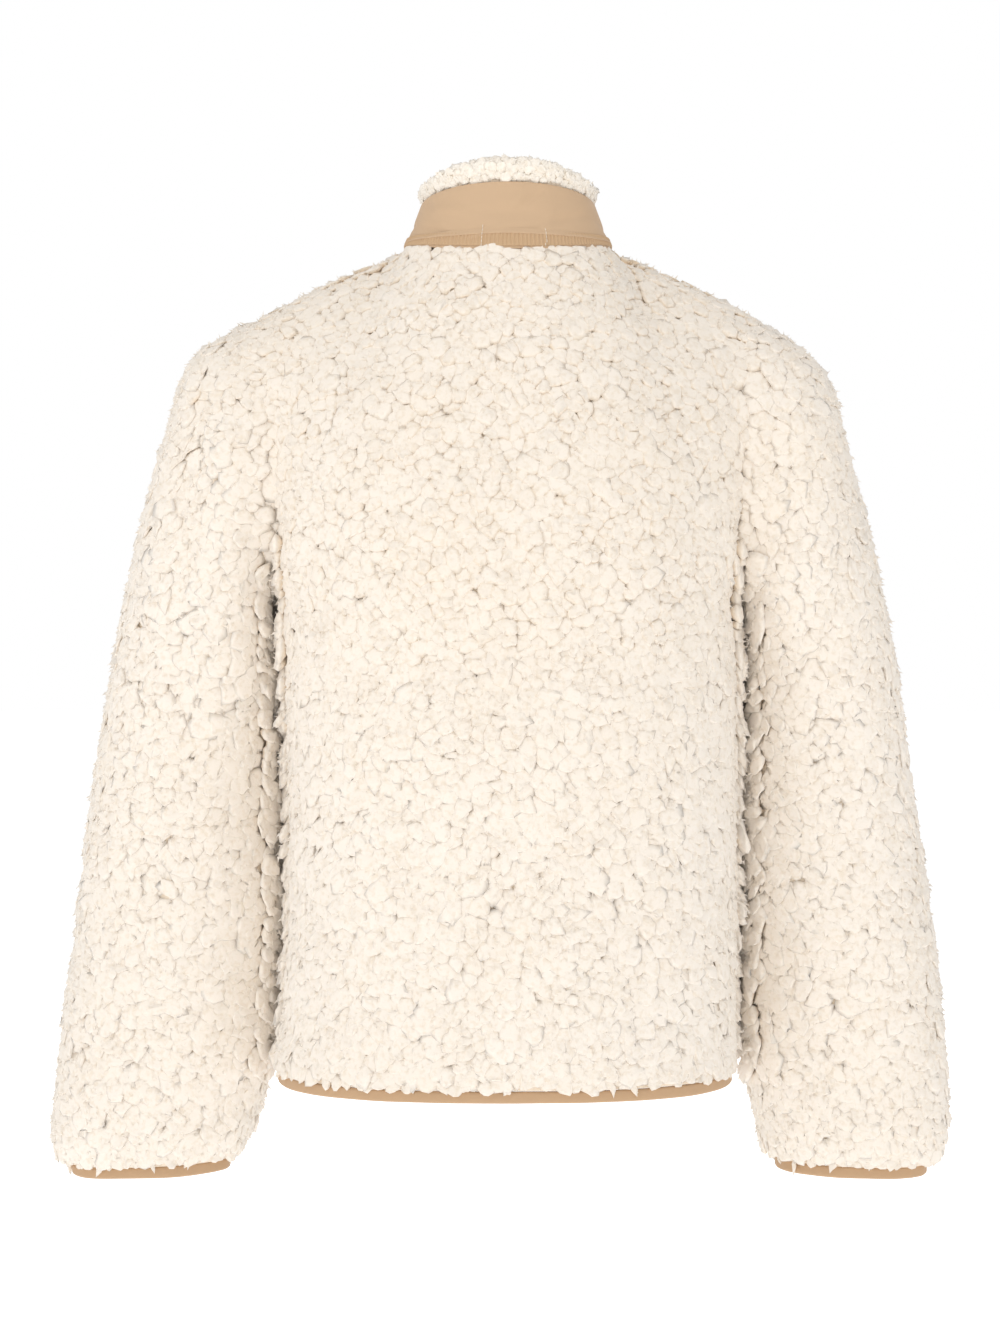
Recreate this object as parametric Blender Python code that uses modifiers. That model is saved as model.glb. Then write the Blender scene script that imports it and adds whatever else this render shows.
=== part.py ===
"""Cream high-pile fleece jacket: boxy body, set-in sleeves, stand collar and a full front zip.

It keeps the hollow form it has when worn. Metres, +Z up, the front faces -Y, and the wearer's
left is +X. The origin is the middle of the neck, level with the highest points of the shoulders.
Every cloth panel is a wall between an outer surface, at the tips of its pile, and an inner one.
All panels share their seam points and the direction in which the wall goes in from each point,
so that neighbours meet in a mitre and stand one seam gap apart.
"""

import math

import bmesh
import bpy
import numpy as np

# ---- Cloth ----
PILE_WALL = 0.0090  # knitted backing with its curly pile
SEAM_GAP = 0.0003
SHELL_WALL = 0.0016  # woven cloth of the collar, doubled
TAPE_WALL = 0.0010

# ---- Body ----
UNDERARM_X, UNDERARM_Z = 0.1790, -0.2800
SHOULDER_TIP_X, SHOULDER_TIP_Z = 0.2000, -0.0565
SHOULDER_CROWN = 0.0045  # how far the seam arches above a straight line
SHOULDER_SEAM_Y = -0.0040
BODY_SQUARENESS = 2.5
FRONT_EDGE_X = 0.0070  # from the middle to each front edge, where the zip shows
BODY_COLUMNS = 12  # from the middle of the back, or the front edge, to the side
NECK_COLUMNS = 6  # of those, the ones that end at the neck
YOKE_ROWS = 12  # from the underarm up to the shoulder
EDGE_FADE = 3.0  # power by which the shape of the neck, shoulder and armhole seams fades

# ---- Neck and collar ----
NECK_HALF_WIDTH = 0.0830
NECK_BACK_Y, NECK_BACK_Z = 0.0730, -0.0100
NECK_FRONT_Y, NECK_FRONT_Z = -0.0860, -0.0650
COLLAR_TOP_HALF_WIDTH = 0.0690
COLLAR_TOP_BACK_Y, COLLAR_TOP_BACK_Z = 0.0610, 0.0445
COLLAR_TOP_SIDE_Z = 0.0370
COLLAR_TOP_FRONT_Z = 0.0080
NECK_SQUARENESS = 2.15
COLLAR_ROWS = 4
FACING_DEPTH = 0.0105  # from the collar's outer face to the pile inside the neck
SHELL_LIFT, FACING_LIFT = 0.0004, 0.0007  # how far their feet stand above the neck seam
NECK_TAPE_FROM, NECK_TAPE_TO = 0.0022, 0.0130

# ---- Armhole and sleeves ----
ARMHOLE_BACK_DEPTH = 0.0670
ARMHOLE_FRONT_DEPTH = 0.0650
ARMHOLE_BOW = 0.0060  # towards the neck, at half its height
SLEEVE_SQUARENESS = 2.2
BINDING_WALL = 0.0042
BINDING_DROP = 0.0095
HEM_BINDING_INSET = 0.0030
CUFF_BINDING_INSET = 0.0048

# ---- Zip ----
CHAIN_HALF_WIDTH = 0.0019
CHAIN_DEPTHS = (0.0060, 0.0090)
ZIP_TAPE_DEPTHS = (0.0072, 0.0084)
SLIDER_LENGTH, SLIDER_WIDTH, SLIDER_PLATE = 0.0110, 0.0086, 0.0012
SLIDER_TOP_Z = 0.0010
BAIL_WIRE = 0.0007  # radius
BAIL_REACH, BAIL_LEGS, BAIL_HALF_HEIGHT = 0.0034, 0.0014, 0.0038
POST_WIDTH = 0.0026
RETAINER_WIDTH, RETAINER_THICK = 0.0068, 0.0030
PULL_LENGTH, PULL_WIDTH, PULL_THICK, PULL_SLOT = 0.0270, 0.0064, 0.0014, 0.0062

# The facing's pile above the collar's top edge, where it rolls out over it.
# columns: height above the edge, depth of its outer side, depth of its inner side
FACING_ROLL = (
    (0.0008, 0.0000, 0.0110),
    (0.0090, -0.0055, 0.0110),
    (0.0210, -0.0010, 0.0070),
)
FACING_FRONT_SHARE = 0.5  # of the roll's height that is left at the zip

# Level sections of the body from the hem up to the underarm.
# columns: z, half width, depth behind the middle, depth before the middle
TORSO = (
    (-0.6510, 0.1835, 0.1360, 0.1370),
    (-0.6280, 0.1800, 0.1375, 0.1385),
    (-0.5900, 0.1772, 0.1390, 0.1400),
    (-0.5400, 0.1765, 0.1410, 0.1410),
    (-0.4850, 0.1765, 0.1425, 0.1420),
    (-0.4300, 0.1768, 0.1440, 0.1435),
    (-0.3780, 0.1778, 0.1455, 0.1455),
    (-0.3280, 0.1788, 0.1465, 0.1475),
    (UNDERARM_Z, UNDERARM_X, 0.1470, 0.1485),
)

# The body hangs a little to one side of its middle. columns: z, how far to the wearer's left
SWAY = (
    (-0.6510, 0.0024),
    (-0.6000, -0.0010),
    (-0.5400, -0.0035),
    (-0.4000, -0.0035),
    (-0.3200, -0.0012),
    (UNDERARM_Z, 0.0),
)

# Sections across each sleeve, from the armhole to the end of the pile at the cuff.
# columns: inner x, inner z, outer x, outer z, full depth, y of the middle
SLEEVE_LEFT = (
    (0.1860, -0.2860, 0.2260, -0.0700, 0.1450, -0.0015),
    (0.1895, -0.2960, 0.2480, -0.0880, 0.1520, -0.0030),
    (0.1900, -0.3080, 0.2620, -0.1150, 0.1540, -0.0050),
    (0.1888, -0.3220, 0.2740, -0.1520, 0.1540, -0.0080),
    (0.1865, -0.3400, 0.2890, -0.2020, 0.1530, -0.0120),
    (0.1840, -0.3650, 0.3040, -0.2640, 0.1520, -0.0180),
    (0.1810, -0.4000, 0.3190, -0.3350, 0.1500, -0.0260),
    (0.1785, -0.4450, 0.3320, -0.4050, 0.1480, -0.0330),
    (0.1778, -0.4900, 0.3420, -0.4700, 0.1450, -0.0380),
    (0.1782, -0.5350, 0.3510, -0.5300, 0.1410, -0.0420),
    (0.1810, -0.5800, 0.3580, -0.5850, 0.1360, -0.0455),
    (0.1870, -0.6250, 0.3640, -0.6380, 0.1300, -0.0485),
    (0.1950, -0.6650, 0.3700, -0.6830, 0.1220, -0.0510),
    (0.2040, -0.7000, 0.3720, -0.7120, 0.1120, -0.0530),
    (0.2140, -0.7210, 0.3705, -0.7290, 0.1020, -0.0540),
    (0.2230, -0.7330, 0.3620, -0.7380, 0.0940, -0.0545),
)
SLEEVE_RIGHT = (
    (0.1860, -0.2860, 0.2220, -0.0700, 0.1450, -0.0015),
    (0.1900, -0.2960, 0.2430, -0.0880, 0.1520, -0.0030),
    (0.1915, -0.3080, 0.2570, -0.1150, 0.1540, -0.0050),
    (0.1920, -0.3220, 0.2710, -0.1520, 0.1540, -0.0080),
    (0.1915, -0.3400, 0.2850, -0.2020, 0.1530, -0.0120),
    (0.1905, -0.3650, 0.2980, -0.2640, 0.1520, -0.0180),
    (0.1890, -0.4000, 0.3130, -0.3350, 0.1500, -0.0260),
    (0.1868, -0.4450, 0.3240, -0.4050, 0.1480, -0.0330),
    (0.1858, -0.4900, 0.3340, -0.4700, 0.1450, -0.0380),
    (0.1858, -0.5350, 0.3430, -0.5300, 0.1410, -0.0420),
    (0.1880, -0.5800, 0.3500, -0.5850, 0.1360, -0.0455),
    (0.1915, -0.6250, 0.3560, -0.6380, 0.1300, -0.0485),
    (0.1965, -0.6650, 0.3590, -0.6830, 0.1220, -0.0510),
    (0.2030, -0.7000, 0.3590, -0.7120, 0.1120, -0.0530),
    (0.2070, -0.7210, 0.3560, -0.7290, 0.1020, -0.0540),
    (0.2150, -0.7330, 0.3480, -0.7380, 0.0940, -0.0545),
)

# Soft troughs (depth below zero) and swells of the body cloth, each a long round-ended dent.
# columns: x, z, reach across it, half its length, slant in degrees from level, depth
BACK_FOLDS = (
    (0.030, -0.330, 0.020, 0.120, -4.0, -0.0040),
    (-0.010, -0.463, 0.022, 0.130, 5.0, -0.0040),
    (0.020, -0.395, 0.026, 0.110, 0.0, 0.0030),
    (0.150, -0.215, 0.020, 0.075, 68.0, -0.0060),
    (-0.150, -0.205, 0.020, 0.080, -66.0, -0.0060),
    (-0.090, -0.575, 0.020, 0.085, 74.0, -0.0035),
    (0.100, -0.565, 0.022, 0.090, -76.0, -0.0035),
)
FRONT_FOLDS = (
    (0.120, -0.230, 0.022, 0.080, 58.0, -0.0055),
    (0.085, -0.400, 0.022, 0.070, 12.0, -0.0035),
    (0.100, -0.550, 0.022, 0.085, 78.0, -0.0035),
)

# Dents of the sleeves, by where they are along it and round it.
# columns: section, degrees round from the outer edge by way of the back, reach in sections,
# reach in degrees, sections that it drops over its reach round, depth
LEFT_DENTS = (
    (1.7, 0.0, 1.0, 45.0, 0.0, 0.0050),
    (3.6, 62.0, 1.5, 26.0, 2.4, -0.0080),
    (7.4, 120.0, 0.9, 55.0, 0.8, -0.0060),
    (9.6, 60.0, 0.9, 60.0, -0.6, -0.0045),
    (12.4, 110.0, 0.8, 55.0, 0.5, -0.0050),
    (7.0, 285.0, 0.9, 50.0, 0.6, -0.0055),
    (11.0, 250.0, 0.9, 50.0, -0.5, -0.0045),
)
RIGHT_DENTS = (
    (3.3, 5.0, 0.6, 45.0, 0.3, 0.0060),
    (4.3, 10.0, 0.55, 55.0, 0.5, -0.0090),
    (6.2, 105.0, 0.9, 45.0, -0.8, -0.0065),
    (8.9, 75.0, 0.9, 60.0, 0.6, -0.0045),
    (11.8, 120.0, 0.8, 55.0, -0.4, -0.0050),
    (6.8, 280.0, 0.9, 50.0, -0.6, -0.0055),
    (10.6, 255.0, 0.9, 50.0, 0.5, -0.0045),
)

COLOURS = {  # name: (linear colour, roughness, metallic)
    "sherpa": ((0.86, 0.78, 0.66), 0.95, 0.0),
    "tan_cloth": ((0.65, 0.46, 0.30), 0.85, 0.0),
    "zip_tape": ((0.60, 0.43, 0.28), 0.85, 0.0),
    "zip_teeth": ((0.58, 0.42, 0.28), 0.45, 0.0),
    "zip_metal": ((0.62, 0.55, 0.45), 0.30, 1.0),
}


# ---- Curves ----
def even(points, count):
    """The ends and count - 1 points between them, evenly spaced along a run of points."""
    points = np.asarray(points, float)
    steps = np.linalg.norm(np.diff(points, axis=0), axis=1)
    along = np.concatenate([[0.0], np.cumsum(steps)])
    wanted = np.linspace(0.0, along[-1], count + 1)
    return np.stack([np.interp(wanted, along, points[:, k]) for k in range(3)], axis=1)


def rounded(angle, squareness):
    """Sine and cosine of an angle on a rounded box: a circle at a squareness of 2."""
    sine, cosine = np.sin(angle), np.cos(angle)
    power = 2.0 / squareness
    return np.sign(sine) * np.abs(sine) ** power, np.sign(cosine) * np.abs(cosine) ** power


def bezier(start, after_start, before_end, end, count):
    t = np.linspace(0.0, 1.0, 161)[:, None]
    start, after_start, before_end, end = map(np.array, (start, after_start, before_end, end))
    curve = (
        (1 - t) ** 3 * start
        + 3 * t * (1 - t) ** 2 * after_start
        + 3 * t**2 * (1 - t) * before_end
        + t**3 * end
    )
    return even(curve, count)


def fine_angles(first, last):
    return np.radians(np.linspace(first, last, 361))


def torso_half_ring(z, half_width, depth, side, start_x):
    """From the middle, or start_x, round to the side seam. side is 1 for the back, -1 for the front."""
    across, back = rounded(fine_angles(0.0, 90.0), BODY_SQUARENESS)
    ring = np.stack([half_width * across, side * depth * back, np.full(across.shape, z)], axis=1)
    middle = np.array([start_x, np.interp(start_x, ring[:, 0], ring[:, 1]), z])
    return even(np.vstack([middle, ring[ring[:, 0] > start_x]]), BODY_COLUMNS)


def neck_points(angles, rise):
    """Points on the neck seam (rise 0), the collar's top edge (rise 1) or beyond.

    The angle goes from the middle of the back, 0, by the wearer's left side to the front, 180.
    """
    across, along = rounded(np.radians(angles), NECK_SQUARENESS)
    behind = along > 0
    back_y = NECK_BACK_Y + rise * (COLLAR_TOP_BACK_Y - NECK_BACK_Y) - SHOULDER_SEAM_Y
    front_y = SHOULDER_SEAM_Y - NECK_FRONT_Y
    side_z = rise * COLLAR_TOP_SIDE_Z
    back_z = NECK_BACK_Z + rise * (COLLAR_TOP_BACK_Z - NECK_BACK_Z) - side_z
    front_z = NECK_FRONT_Z + rise * (COLLAR_TOP_FRONT_Z - NECK_FRONT_Z) - side_z
    half_width = NECK_HALF_WIDTH + rise * (COLLAR_TOP_HALF_WIDTH - NECK_HALF_WIDTH)
    x = half_width * across
    y = SHOULDER_SEAM_Y + along * np.where(behind, back_y, front_y)
    z = side_z + np.abs(along) ** 1.8 * np.where(behind, back_z, front_z)
    return np.stack([x, y, z], axis=1)


def neck_angles():
    """Angles of the neck seam's points: the back half, then the front half down to the zip."""
    fine = np.linspace(0.0, 180.0, 3601)
    seam = neck_points(fine, 0.0)
    steps = np.linalg.norm(np.diff(seam, axis=0), axis=1)
    along = np.concatenate([[0.0], np.cumsum(steps)])
    side = along[1800]
    front_edge = np.interp(-FRONT_EDGE_X, -seam[1800:, 0], along[1800:])
    back = np.interp(np.linspace(0.0, side, NECK_COLUMNS + 1), along, fine)
    front = np.interp(np.linspace(side, front_edge, NECK_COLUMNS + 1), along, fine)
    return back, front


def armhole_half(side):
    """From the underarm up to the shoulder tip, by the back (side 1) or the front (-1)."""
    depth = ARMHOLE_BACK_DEPTH if side > 0 else ARMHOLE_FRONT_DEPTH
    up, out = rounded(fine_angles(-90.0, 90.0), SLEEVE_SQUARENESS)
    share = (up + 1) / 2
    x = UNDERARM_X + share * (SHOULDER_TIP_X - UNDERARM_X) - ARMHOLE_BOW * out
    y = share * SHOULDER_SEAM_Y + side * depth * out
    z = UNDERARM_Z + share * (SHOULDER_TIP_Z - UNDERARM_Z)
    return even(np.stack([x, y, z], axis=1), YOKE_ROWS)


# ---- Surfaces: arrays of rows by columns by 3, turned so that columns cross rows points out ----
def patch(bottom, top, first, last):
    """A patch between four edges that share their corners.

    The top edge has a corner at the neck and the last one, the armhole, curls round at its foot,
    so the pull of both fades fast towards the middle of the patch.
    """
    high = np.linspace(0.0, 1.0, len(first))[:, None, None] ** EDGE_FADE
    far = np.linspace(0.0, 1.0, len(bottom))[None, :, None] ** EDGE_FADE
    sides = (1 - far) * first[:, None] + far * last[:, None]
    low_corners = (1 - far) * bottom[0] + far * bottom[-1]
    high_corners = (1 - far) * top[0] + far * top[-1]
    return sides + (1 - high) * (bottom[None] - low_corners) + high * (top[None] - high_corners)


def folded(surface, folds, side):
    """The body surface with its soft troughs and swells, fading out before every edge."""
    rows, columns = surface.shape[:2]
    u = np.linspace(0.0, 1.0, columns)[None, :]
    v = np.linspace(0.0, 1.0, rows)[:, None]
    fade = np.minimum(1.0, 5 * (1 - u)) * np.minimum(1.0, 5 * v) * np.minimum(1.0, 5 * (1 - v))
    for x, z, reach, length, slant, depth in folds:
        slant = math.radians(slant)
        across, up = surface[..., 0] - x, surface[..., 2] - z
        along = across * math.cos(slant) + up * math.sin(slant)
        away = up * math.cos(slant) - across * math.sin(slant)
        dent = depth * np.exp(-((away / reach) ** 2) - (along / length) ** 2)
        surface[..., 1] += side * dent * fade
    return surface


def body_quarter(side, folds):
    """Half a back (side 1) or one front (side -1), columns from the middle to the wearer's left."""
    start_x = 0.0 if side > 0 else FRONT_EDGE_X
    depth_column = 2 if side > 0 else 3
    rings = [torso_half_ring(row[0], row[1], row[depth_column], side, start_x) for row in TORSO]
    angles = neck_angles()[0] if side > 0 else neck_angles()[1][::-1]
    neck = neck_points(angles, 0.0)
    tip = (SHOULDER_TIP_X, SHOULDER_SEAM_Y, SHOULDER_TIP_Z)
    share = np.linspace(0.0, 1.0, BODY_COLUMNS - NECK_COLUMNS + 1)
    shoulder = neck[-1] + share[:, None] * (tip - neck[-1])
    shoulder[:, 2] += SHOULDER_CROWN * 4 * share * (1 - share)
    top = np.vstack([neck, shoulder[1:]])
    bottom = rings[-1]
    if side > 0:
        leave, arrive = (0.0, 0.001, 0.100), (0.0, 0.036, -0.060)
    else:
        leave, arrive = (0.0, -0.001, 0.070), (0.0, -0.022, -0.050)
    middle = bezier(bottom[0], bottom[0] + leave, top[0] + arrive, top[0], YOKE_ROWS)
    yoke = patch(bottom, top, middle, armhole_half(side))
    surface = np.concatenate([np.array(rings[:-1]), yoke])
    return folded(surface, folds, side)


def sleeve_ring(section, side):
    """A closed ring: the outer edge, then round by the back, the inner edge and the front."""
    inner_x, inner_z, outer_x, outer_z, depth, middle_y = section
    inner, outer = np.array([inner_x, 0, inner_z]), np.array([outer_x, 0, outer_z])
    back, out = rounded(fine_angles(0.0, 180.0), SLEEVE_SQUARENESS)
    half = (inner + outer) / 2 + out[:, None] * (outer - inner) / 2
    half[:, 1] = middle_y + back * depth / 2
    half = even(half, YOKE_ROWS)
    other = half[-2:0:-1].copy()
    other[:, 1] = 2 * middle_y - other[:, 1]
    return np.vstack([half, other]) * (side, 1, 1)


def sleeve(sections, dents, side):
    """The rings of a sleeve, the first of them on the armhole. side is 1 for the wearer's left."""
    back, front = armhole_half(1)[::-1], armhole_half(-1)[1:-1]
    rings = [np.vstack([back, front]) * (side, 1, 1)]
    rings += [sleeve_ring(section, side) for section in sections]
    surface = np.array(rings)
    count = surface.shape[1]
    section = np.arange(len(rings))[:, None]
    angle = np.arange(count)[None, :] * 360.0 / count
    middles = surface.mean(axis=1, keepdims=True)
    out = surface - middles
    out /= np.linalg.norm(out, axis=2, keepdims=True)
    fade = np.clip(section / 2.0, 0, 1) * np.clip((len(rings) - 1 - section) / 2.0, 0, 1)
    for at, round_at, reach, round_reach, drop, depth in dents:
        turn = (angle - round_at + 180.0) % 360.0 - 180.0
        away = section - at - drop * turn / round_reach
        dent = depth * np.exp(-((away / reach) ** 2) - (turn / round_reach) ** 2) * fade
        surface += out * dent[..., None]
    return surface


def collar_surface(rises, front_share=1.0):
    """Rows up the collar, columns from the left front edge round the back to the right one.

    What a row rises above the top edge shrinks to front_share of that at the zip.
    """
    back, front = neck_angles()
    left = np.concatenate([back, front[1:]])[::-1]
    shares = 1 - (1 - front_share) * (left / 180.0) ** 2
    rows = []
    for rise in rises:
        half = neck_points(left, min(rise, 1.0) + max(rise - 1.0, 0.0) * shares)
        if rise > 0:
            half[0, 0] = FRONT_EDGE_X
        rows.append(np.vstack([half, half[-2::-1] * (-1, 1, 1)]))
    return np.array(rows)


# ---- Walls ----
def place(point):
    return tuple(np.round(point, 6) + 0.0)


def ways_out(surfaces, closed):
    """For each surface, the way out of the cloth at each point, shared wherever surfaces meet.

    Its length makes a wall as thick at a seam that turns a corner as elsewhere.
    """
    sums, faces_at = {}, {}
    for surface, is_closed in zip(surfaces, closed):
        rows, columns = surface.shape[:2]
        for i in range(rows - 1):
            for j in range(columns if is_closed else columns - 1):
                k = (j + 1) % columns
                corners = surface[i, j], surface[i, k], surface[i + 1, k], surface[i + 1, j]
                area = np.cross(corners[2] - corners[0], corners[3] - corners[1])
                unit = area / np.linalg.norm(area)
                for corner in corners:
                    key = place(corner)
                    sums[key] = sums.get(key, 0) + unit
                    faces_at.setdefault(key, []).append(unit)
    ways = []
    for surface in surfaces:
        way = np.empty_like(surface)
        for index in np.ndindex(surface.shape[:2]):
            key = place(surface[index])
            mean = sums[key] / np.linalg.norm(sums[key])
            spread = np.mean([mean @ unit for unit in faces_at[key]])
            way[index] = mean / max(spread, 0.72)
        ways.append(way)
    return ways


def flattened(way, axis):
    """A run of ways out, turned into the plane across axis, so that an edge there is flat."""
    flat = way - (way @ axis)[:, None] * axis
    return flat / np.linalg.norm(flat, axis=1, keepdims=True)


def edge_loops(rows, columns, closed):
    """Index runs of the free edges of a surface, each a closed loop."""
    if closed:
        return [[(row, j) for j in range(columns)] for row in (0, rows - 1)]
    loop = [(0, j) for j in range(columns)]
    loop += [(i, columns - 1) for i in range(1, rows)]
    loop += [(rows - 1, j) for j in range(columns - 2, -1, -1)]
    loop += [(i, 0) for i in range(rows - 2, 0, -1)]
    return [loop]


def drawn_back(surface, way, closed):
    """How far each point moves so that every edge stands half a seam gap inside its seam."""
    rows, columns = surface.shape[:2]
    move = np.zeros_like(surface)
    for loop in edge_loops(rows, columns, closed):
        points = np.array([surface[index] for index in loop])
        outs = np.array([way[index] for index in loop])
        along = np.roll(points, -1, axis=0) - points
        mean_out = outs + np.roll(outs, -1, axis=0)
        inward = np.cross(mean_out, along)
        inward /= np.linalg.norm(inward, axis=1, keepdims=True)
        if closed and loop[0][0] > 0:
            inward = -inward
        before = np.roll(inward, 1, axis=0)
        lean = np.maximum(1 + (inward * before).sum(axis=1, keepdims=True), 0.5)
        for index, shift in zip(loop, SEAM_GAP / 2 * (inward + before) / lean):
            move[index] = shift
    return move


def split(first, second):
    """The same choice of diagonal for a rim's face, from either side of the seam or the body."""
    return place(first * (np.sign(first[0]), 1, 1)) < place(second * (np.sign(second[0]), 1, 1))


def wall_mesh(name, outer, inner, closed, guide):
    """A closed body between two surfaces. The guide has the shared points that choose diagonals."""
    rows, columns = outer.shape[:2]
    mesh = bmesh.new()
    front = [[mesh.verts.new(outer[i, j]) for j in range(columns)] for i in range(rows)]
    back = [[mesh.verts.new(inner[i, j]) for j in range(columns)] for i in range(rows)]
    for i in range(rows - 1):
        for j in range(columns if closed else columns - 1):
            k = (j + 1) % columns
            rising = np.linalg.norm(guide[i + 1, k] - guide[i, j])
            falling = np.linalg.norm(guide[i + 1, j] - guide[i, k])
            for sheet in (front, back):
                a, b, c, d = sheet[i][j], sheet[i][k], sheet[i + 1][k], sheet[i + 1][j]
                halves = ((a, b, c), (a, c, d)) if rising < falling else ((a, b, d), (b, c, d))
                for corners in halves:
                    mesh.faces.new(corners)
    for loop in edge_loops(rows, columns, closed):
        for (i, j), (m, n) in zip(loop, loop[1:] + loop[:1]):
            near, far, near_in, far_in = front[i][j], front[m][n], back[i][j], back[m][n]
            if split(guide[i, j], guide[m, n]):
                mesh.faces.new((near, far, far_in))
                mesh.faces.new((near, far_in, near_in))
            else:
                mesh.faces.new((near, far, near_in))
                mesh.faces.new((far, far_in, near_in))
    bmesh.ops.recalc_face_normals(mesh, faces=mesh.faces)
    data = bpy.data.meshes.new(name)
    mesh.to_mesh(data)
    mesh.free()
    return data


def add_wall(name, surface, way, depths, colour, closed=False):
    """A cloth piece between two depths below a surface, each one number or one for each row."""
    move = drawn_back(surface, way, closed)
    sheets = []
    for depth in depths:
        row_depths = np.broadcast_to(depth, len(surface))[:, None, None]
        sheets.append(surface - row_depths * way + move)
    return add(name, wall_mesh(name, *sheets, closed, surface), colour)


# ---- Objects ----
def cleared_scene(title):
    for obj in list(bpy.data.objects):
        bpy.data.objects.remove(obj, do_unlink=True)
    collection = bpy.data.collections.new(title)
    bpy.context.scene.collection.children.link(collection)
    return collection


def material(name):
    found = bpy.data.materials.get(name)
    if found:
        return found
    colour, roughness, metallic = COLOURS[name]
    made = bpy.data.materials.new(name)
    made.use_nodes = True
    shader = made.node_tree.nodes["Principled BSDF"]
    shader.inputs["Base Color"].default_value = (*colour, 1.0)
    shader.inputs["Roughness"].default_value = roughness
    shader.inputs["Metallic"].default_value = metallic
    made.diffuse_color = (*colour, 1.0)
    return made


def add(name, data, colour):
    obj = bpy.data.objects.new(name, data)
    jacket.objects.link(obj)
    data.materials.append(material(colour).copy())
    data.materials[0].name = name
    data.shade_smooth()
    data.set_sharp_from_angle(angle=math.radians(50))
    return obj


def box(size, middle):
    """A block as a mesh of its own, its sides along the axes."""
    mesh = bmesh.new()
    bmesh.ops.create_cube(mesh, size=1.0)
    bmesh.ops.scale(mesh, vec=size, verts=mesh.verts)
    bmesh.ops.translate(mesh, vec=middle, verts=mesh.verts)
    data = bpy.data.meshes.new("block")
    mesh.to_mesh(data)
    mesh.free()
    return data


def soften(obj, width, segments=2):
    bevel = obj.modifiers.new("Edges", "BEVEL")
    bevel.width = width
    bevel.segments = segments
    bevel.limit_method = "ANGLE"


def unite(obj, other_mesh):
    """Joins a helper mesh onto an object and leaves one closed body."""
    helper = bpy.data.objects.new(obj.name + "_helper", other_mesh)
    helpers.objects.link(helper)
    helper.hide_render = True
    helper.display_type = "WIRE"
    boolean = obj.modifiers.new("Join", "BOOLEAN")
    boolean.operation = "UNION"
    boolean.object = helper
    return helper


def cut(obj, other_mesh):
    helper = unite(obj, other_mesh)
    obj.modifiers[-1].operation = "DIFFERENCE"
    return helper


def wire_mesh(points, radius):
    """A round wire through the points as a closed mesh."""
    curve = bpy.data.curves.new("wire", "CURVE")
    curve.dimensions = "3D"
    curve.bevel_depth = radius
    curve.bevel_resolution = 2
    curve.use_fill_caps = True
    spline = curve.splines.new("POLY")
    spline.points.add(len(points) - 1)
    for target, point in zip(spline.points, points):
        target.co = (*point, 1.0)
    obj = bpy.data.objects.new("wire", curve)
    jacket.objects.link(obj)
    bpy.context.view_layer.update()
    data = bpy.data.meshes.new_from_object(obj.evaluated_get(bpy.context.evaluated_depsgraph_get()))
    bpy.data.objects.remove(obj, do_unlink=True)
    mesh = bmesh.new()
    mesh.from_mesh(data)
    bmesh.ops.remove_doubles(mesh, verts=mesh.verts, dist=0.00001)
    bmesh.ops.recalc_face_normals(mesh, faces=mesh.faces)
    mesh.to_mesh(data)
    mesh.free()
    return data


# ---- The jacket ----
def swayed(surface):
    heights, shifts = np.transpose(SWAY)
    surface[..., 0] += np.interp(surface[..., 2], heights, shifts)
    return surface


def cloth_surfaces():
    half_back = body_quarter(1, BACK_FOLDS)
    mirrored = half_back[:, :0:-1] * (-1, 1, 1)
    back = np.concatenate([mirrored, half_back], axis=1)[:, ::-1]
    left = body_quarter(-1, FRONT_FOLDS)
    return {
        "back": swayed(back),
        "front_left": swayed(left.copy()),
        "front_right": swayed((left * (-1, 1, 1))[:, ::-1]),
        "sleeve_left": sleeve(SLEEVE_LEFT, LEFT_DENTS, 1)[:, ::-1],
        "sleeve_right": sleeve(SLEEVE_RIGHT, RIGHT_DENTS, -1),
        "collar": collar_surface(np.linspace(0.0, 1.0, COLLAR_ROWS + 1)),
    }


def trued_ways(surfaces, ways):
    """Ways out that lie level at the hem, square to the sleeve at a cuff, and straight at the zip."""
    up = np.array([0.0, 0.0, 1.0])
    for name in ("back", "front_left", "front_right"):
        ways[name][0] = flattened(ways[name][0], up)
    for name in ("sleeve_left", "sleeve_right"):
        end = surfaces[name][-1]
        axis = np.cross(end[6] - end[0], end[12] - end[0])
        ways[name][-1] = flattened(ways[name][-1], axis / np.linalg.norm(axis))
    for name, columns in (("front_left", [0]), ("front_right", [-1]), ("collar", [0, -1])):
        for column in columns:
            ways[name][:, column, 0] = 0.0
    return ways


def build_panels(surfaces, ways):
    for name in ("back", "front_left", "front_right"):
        add_wall(name, surfaces[name], ways[name], (0.0, PILE_WALL), "sherpa")
    for name in ("sleeve_left", "sleeve_right"):
        add_wall(name, surfaces[name], ways[name], (0.0, PILE_WALL), "sherpa", closed=True)


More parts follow.
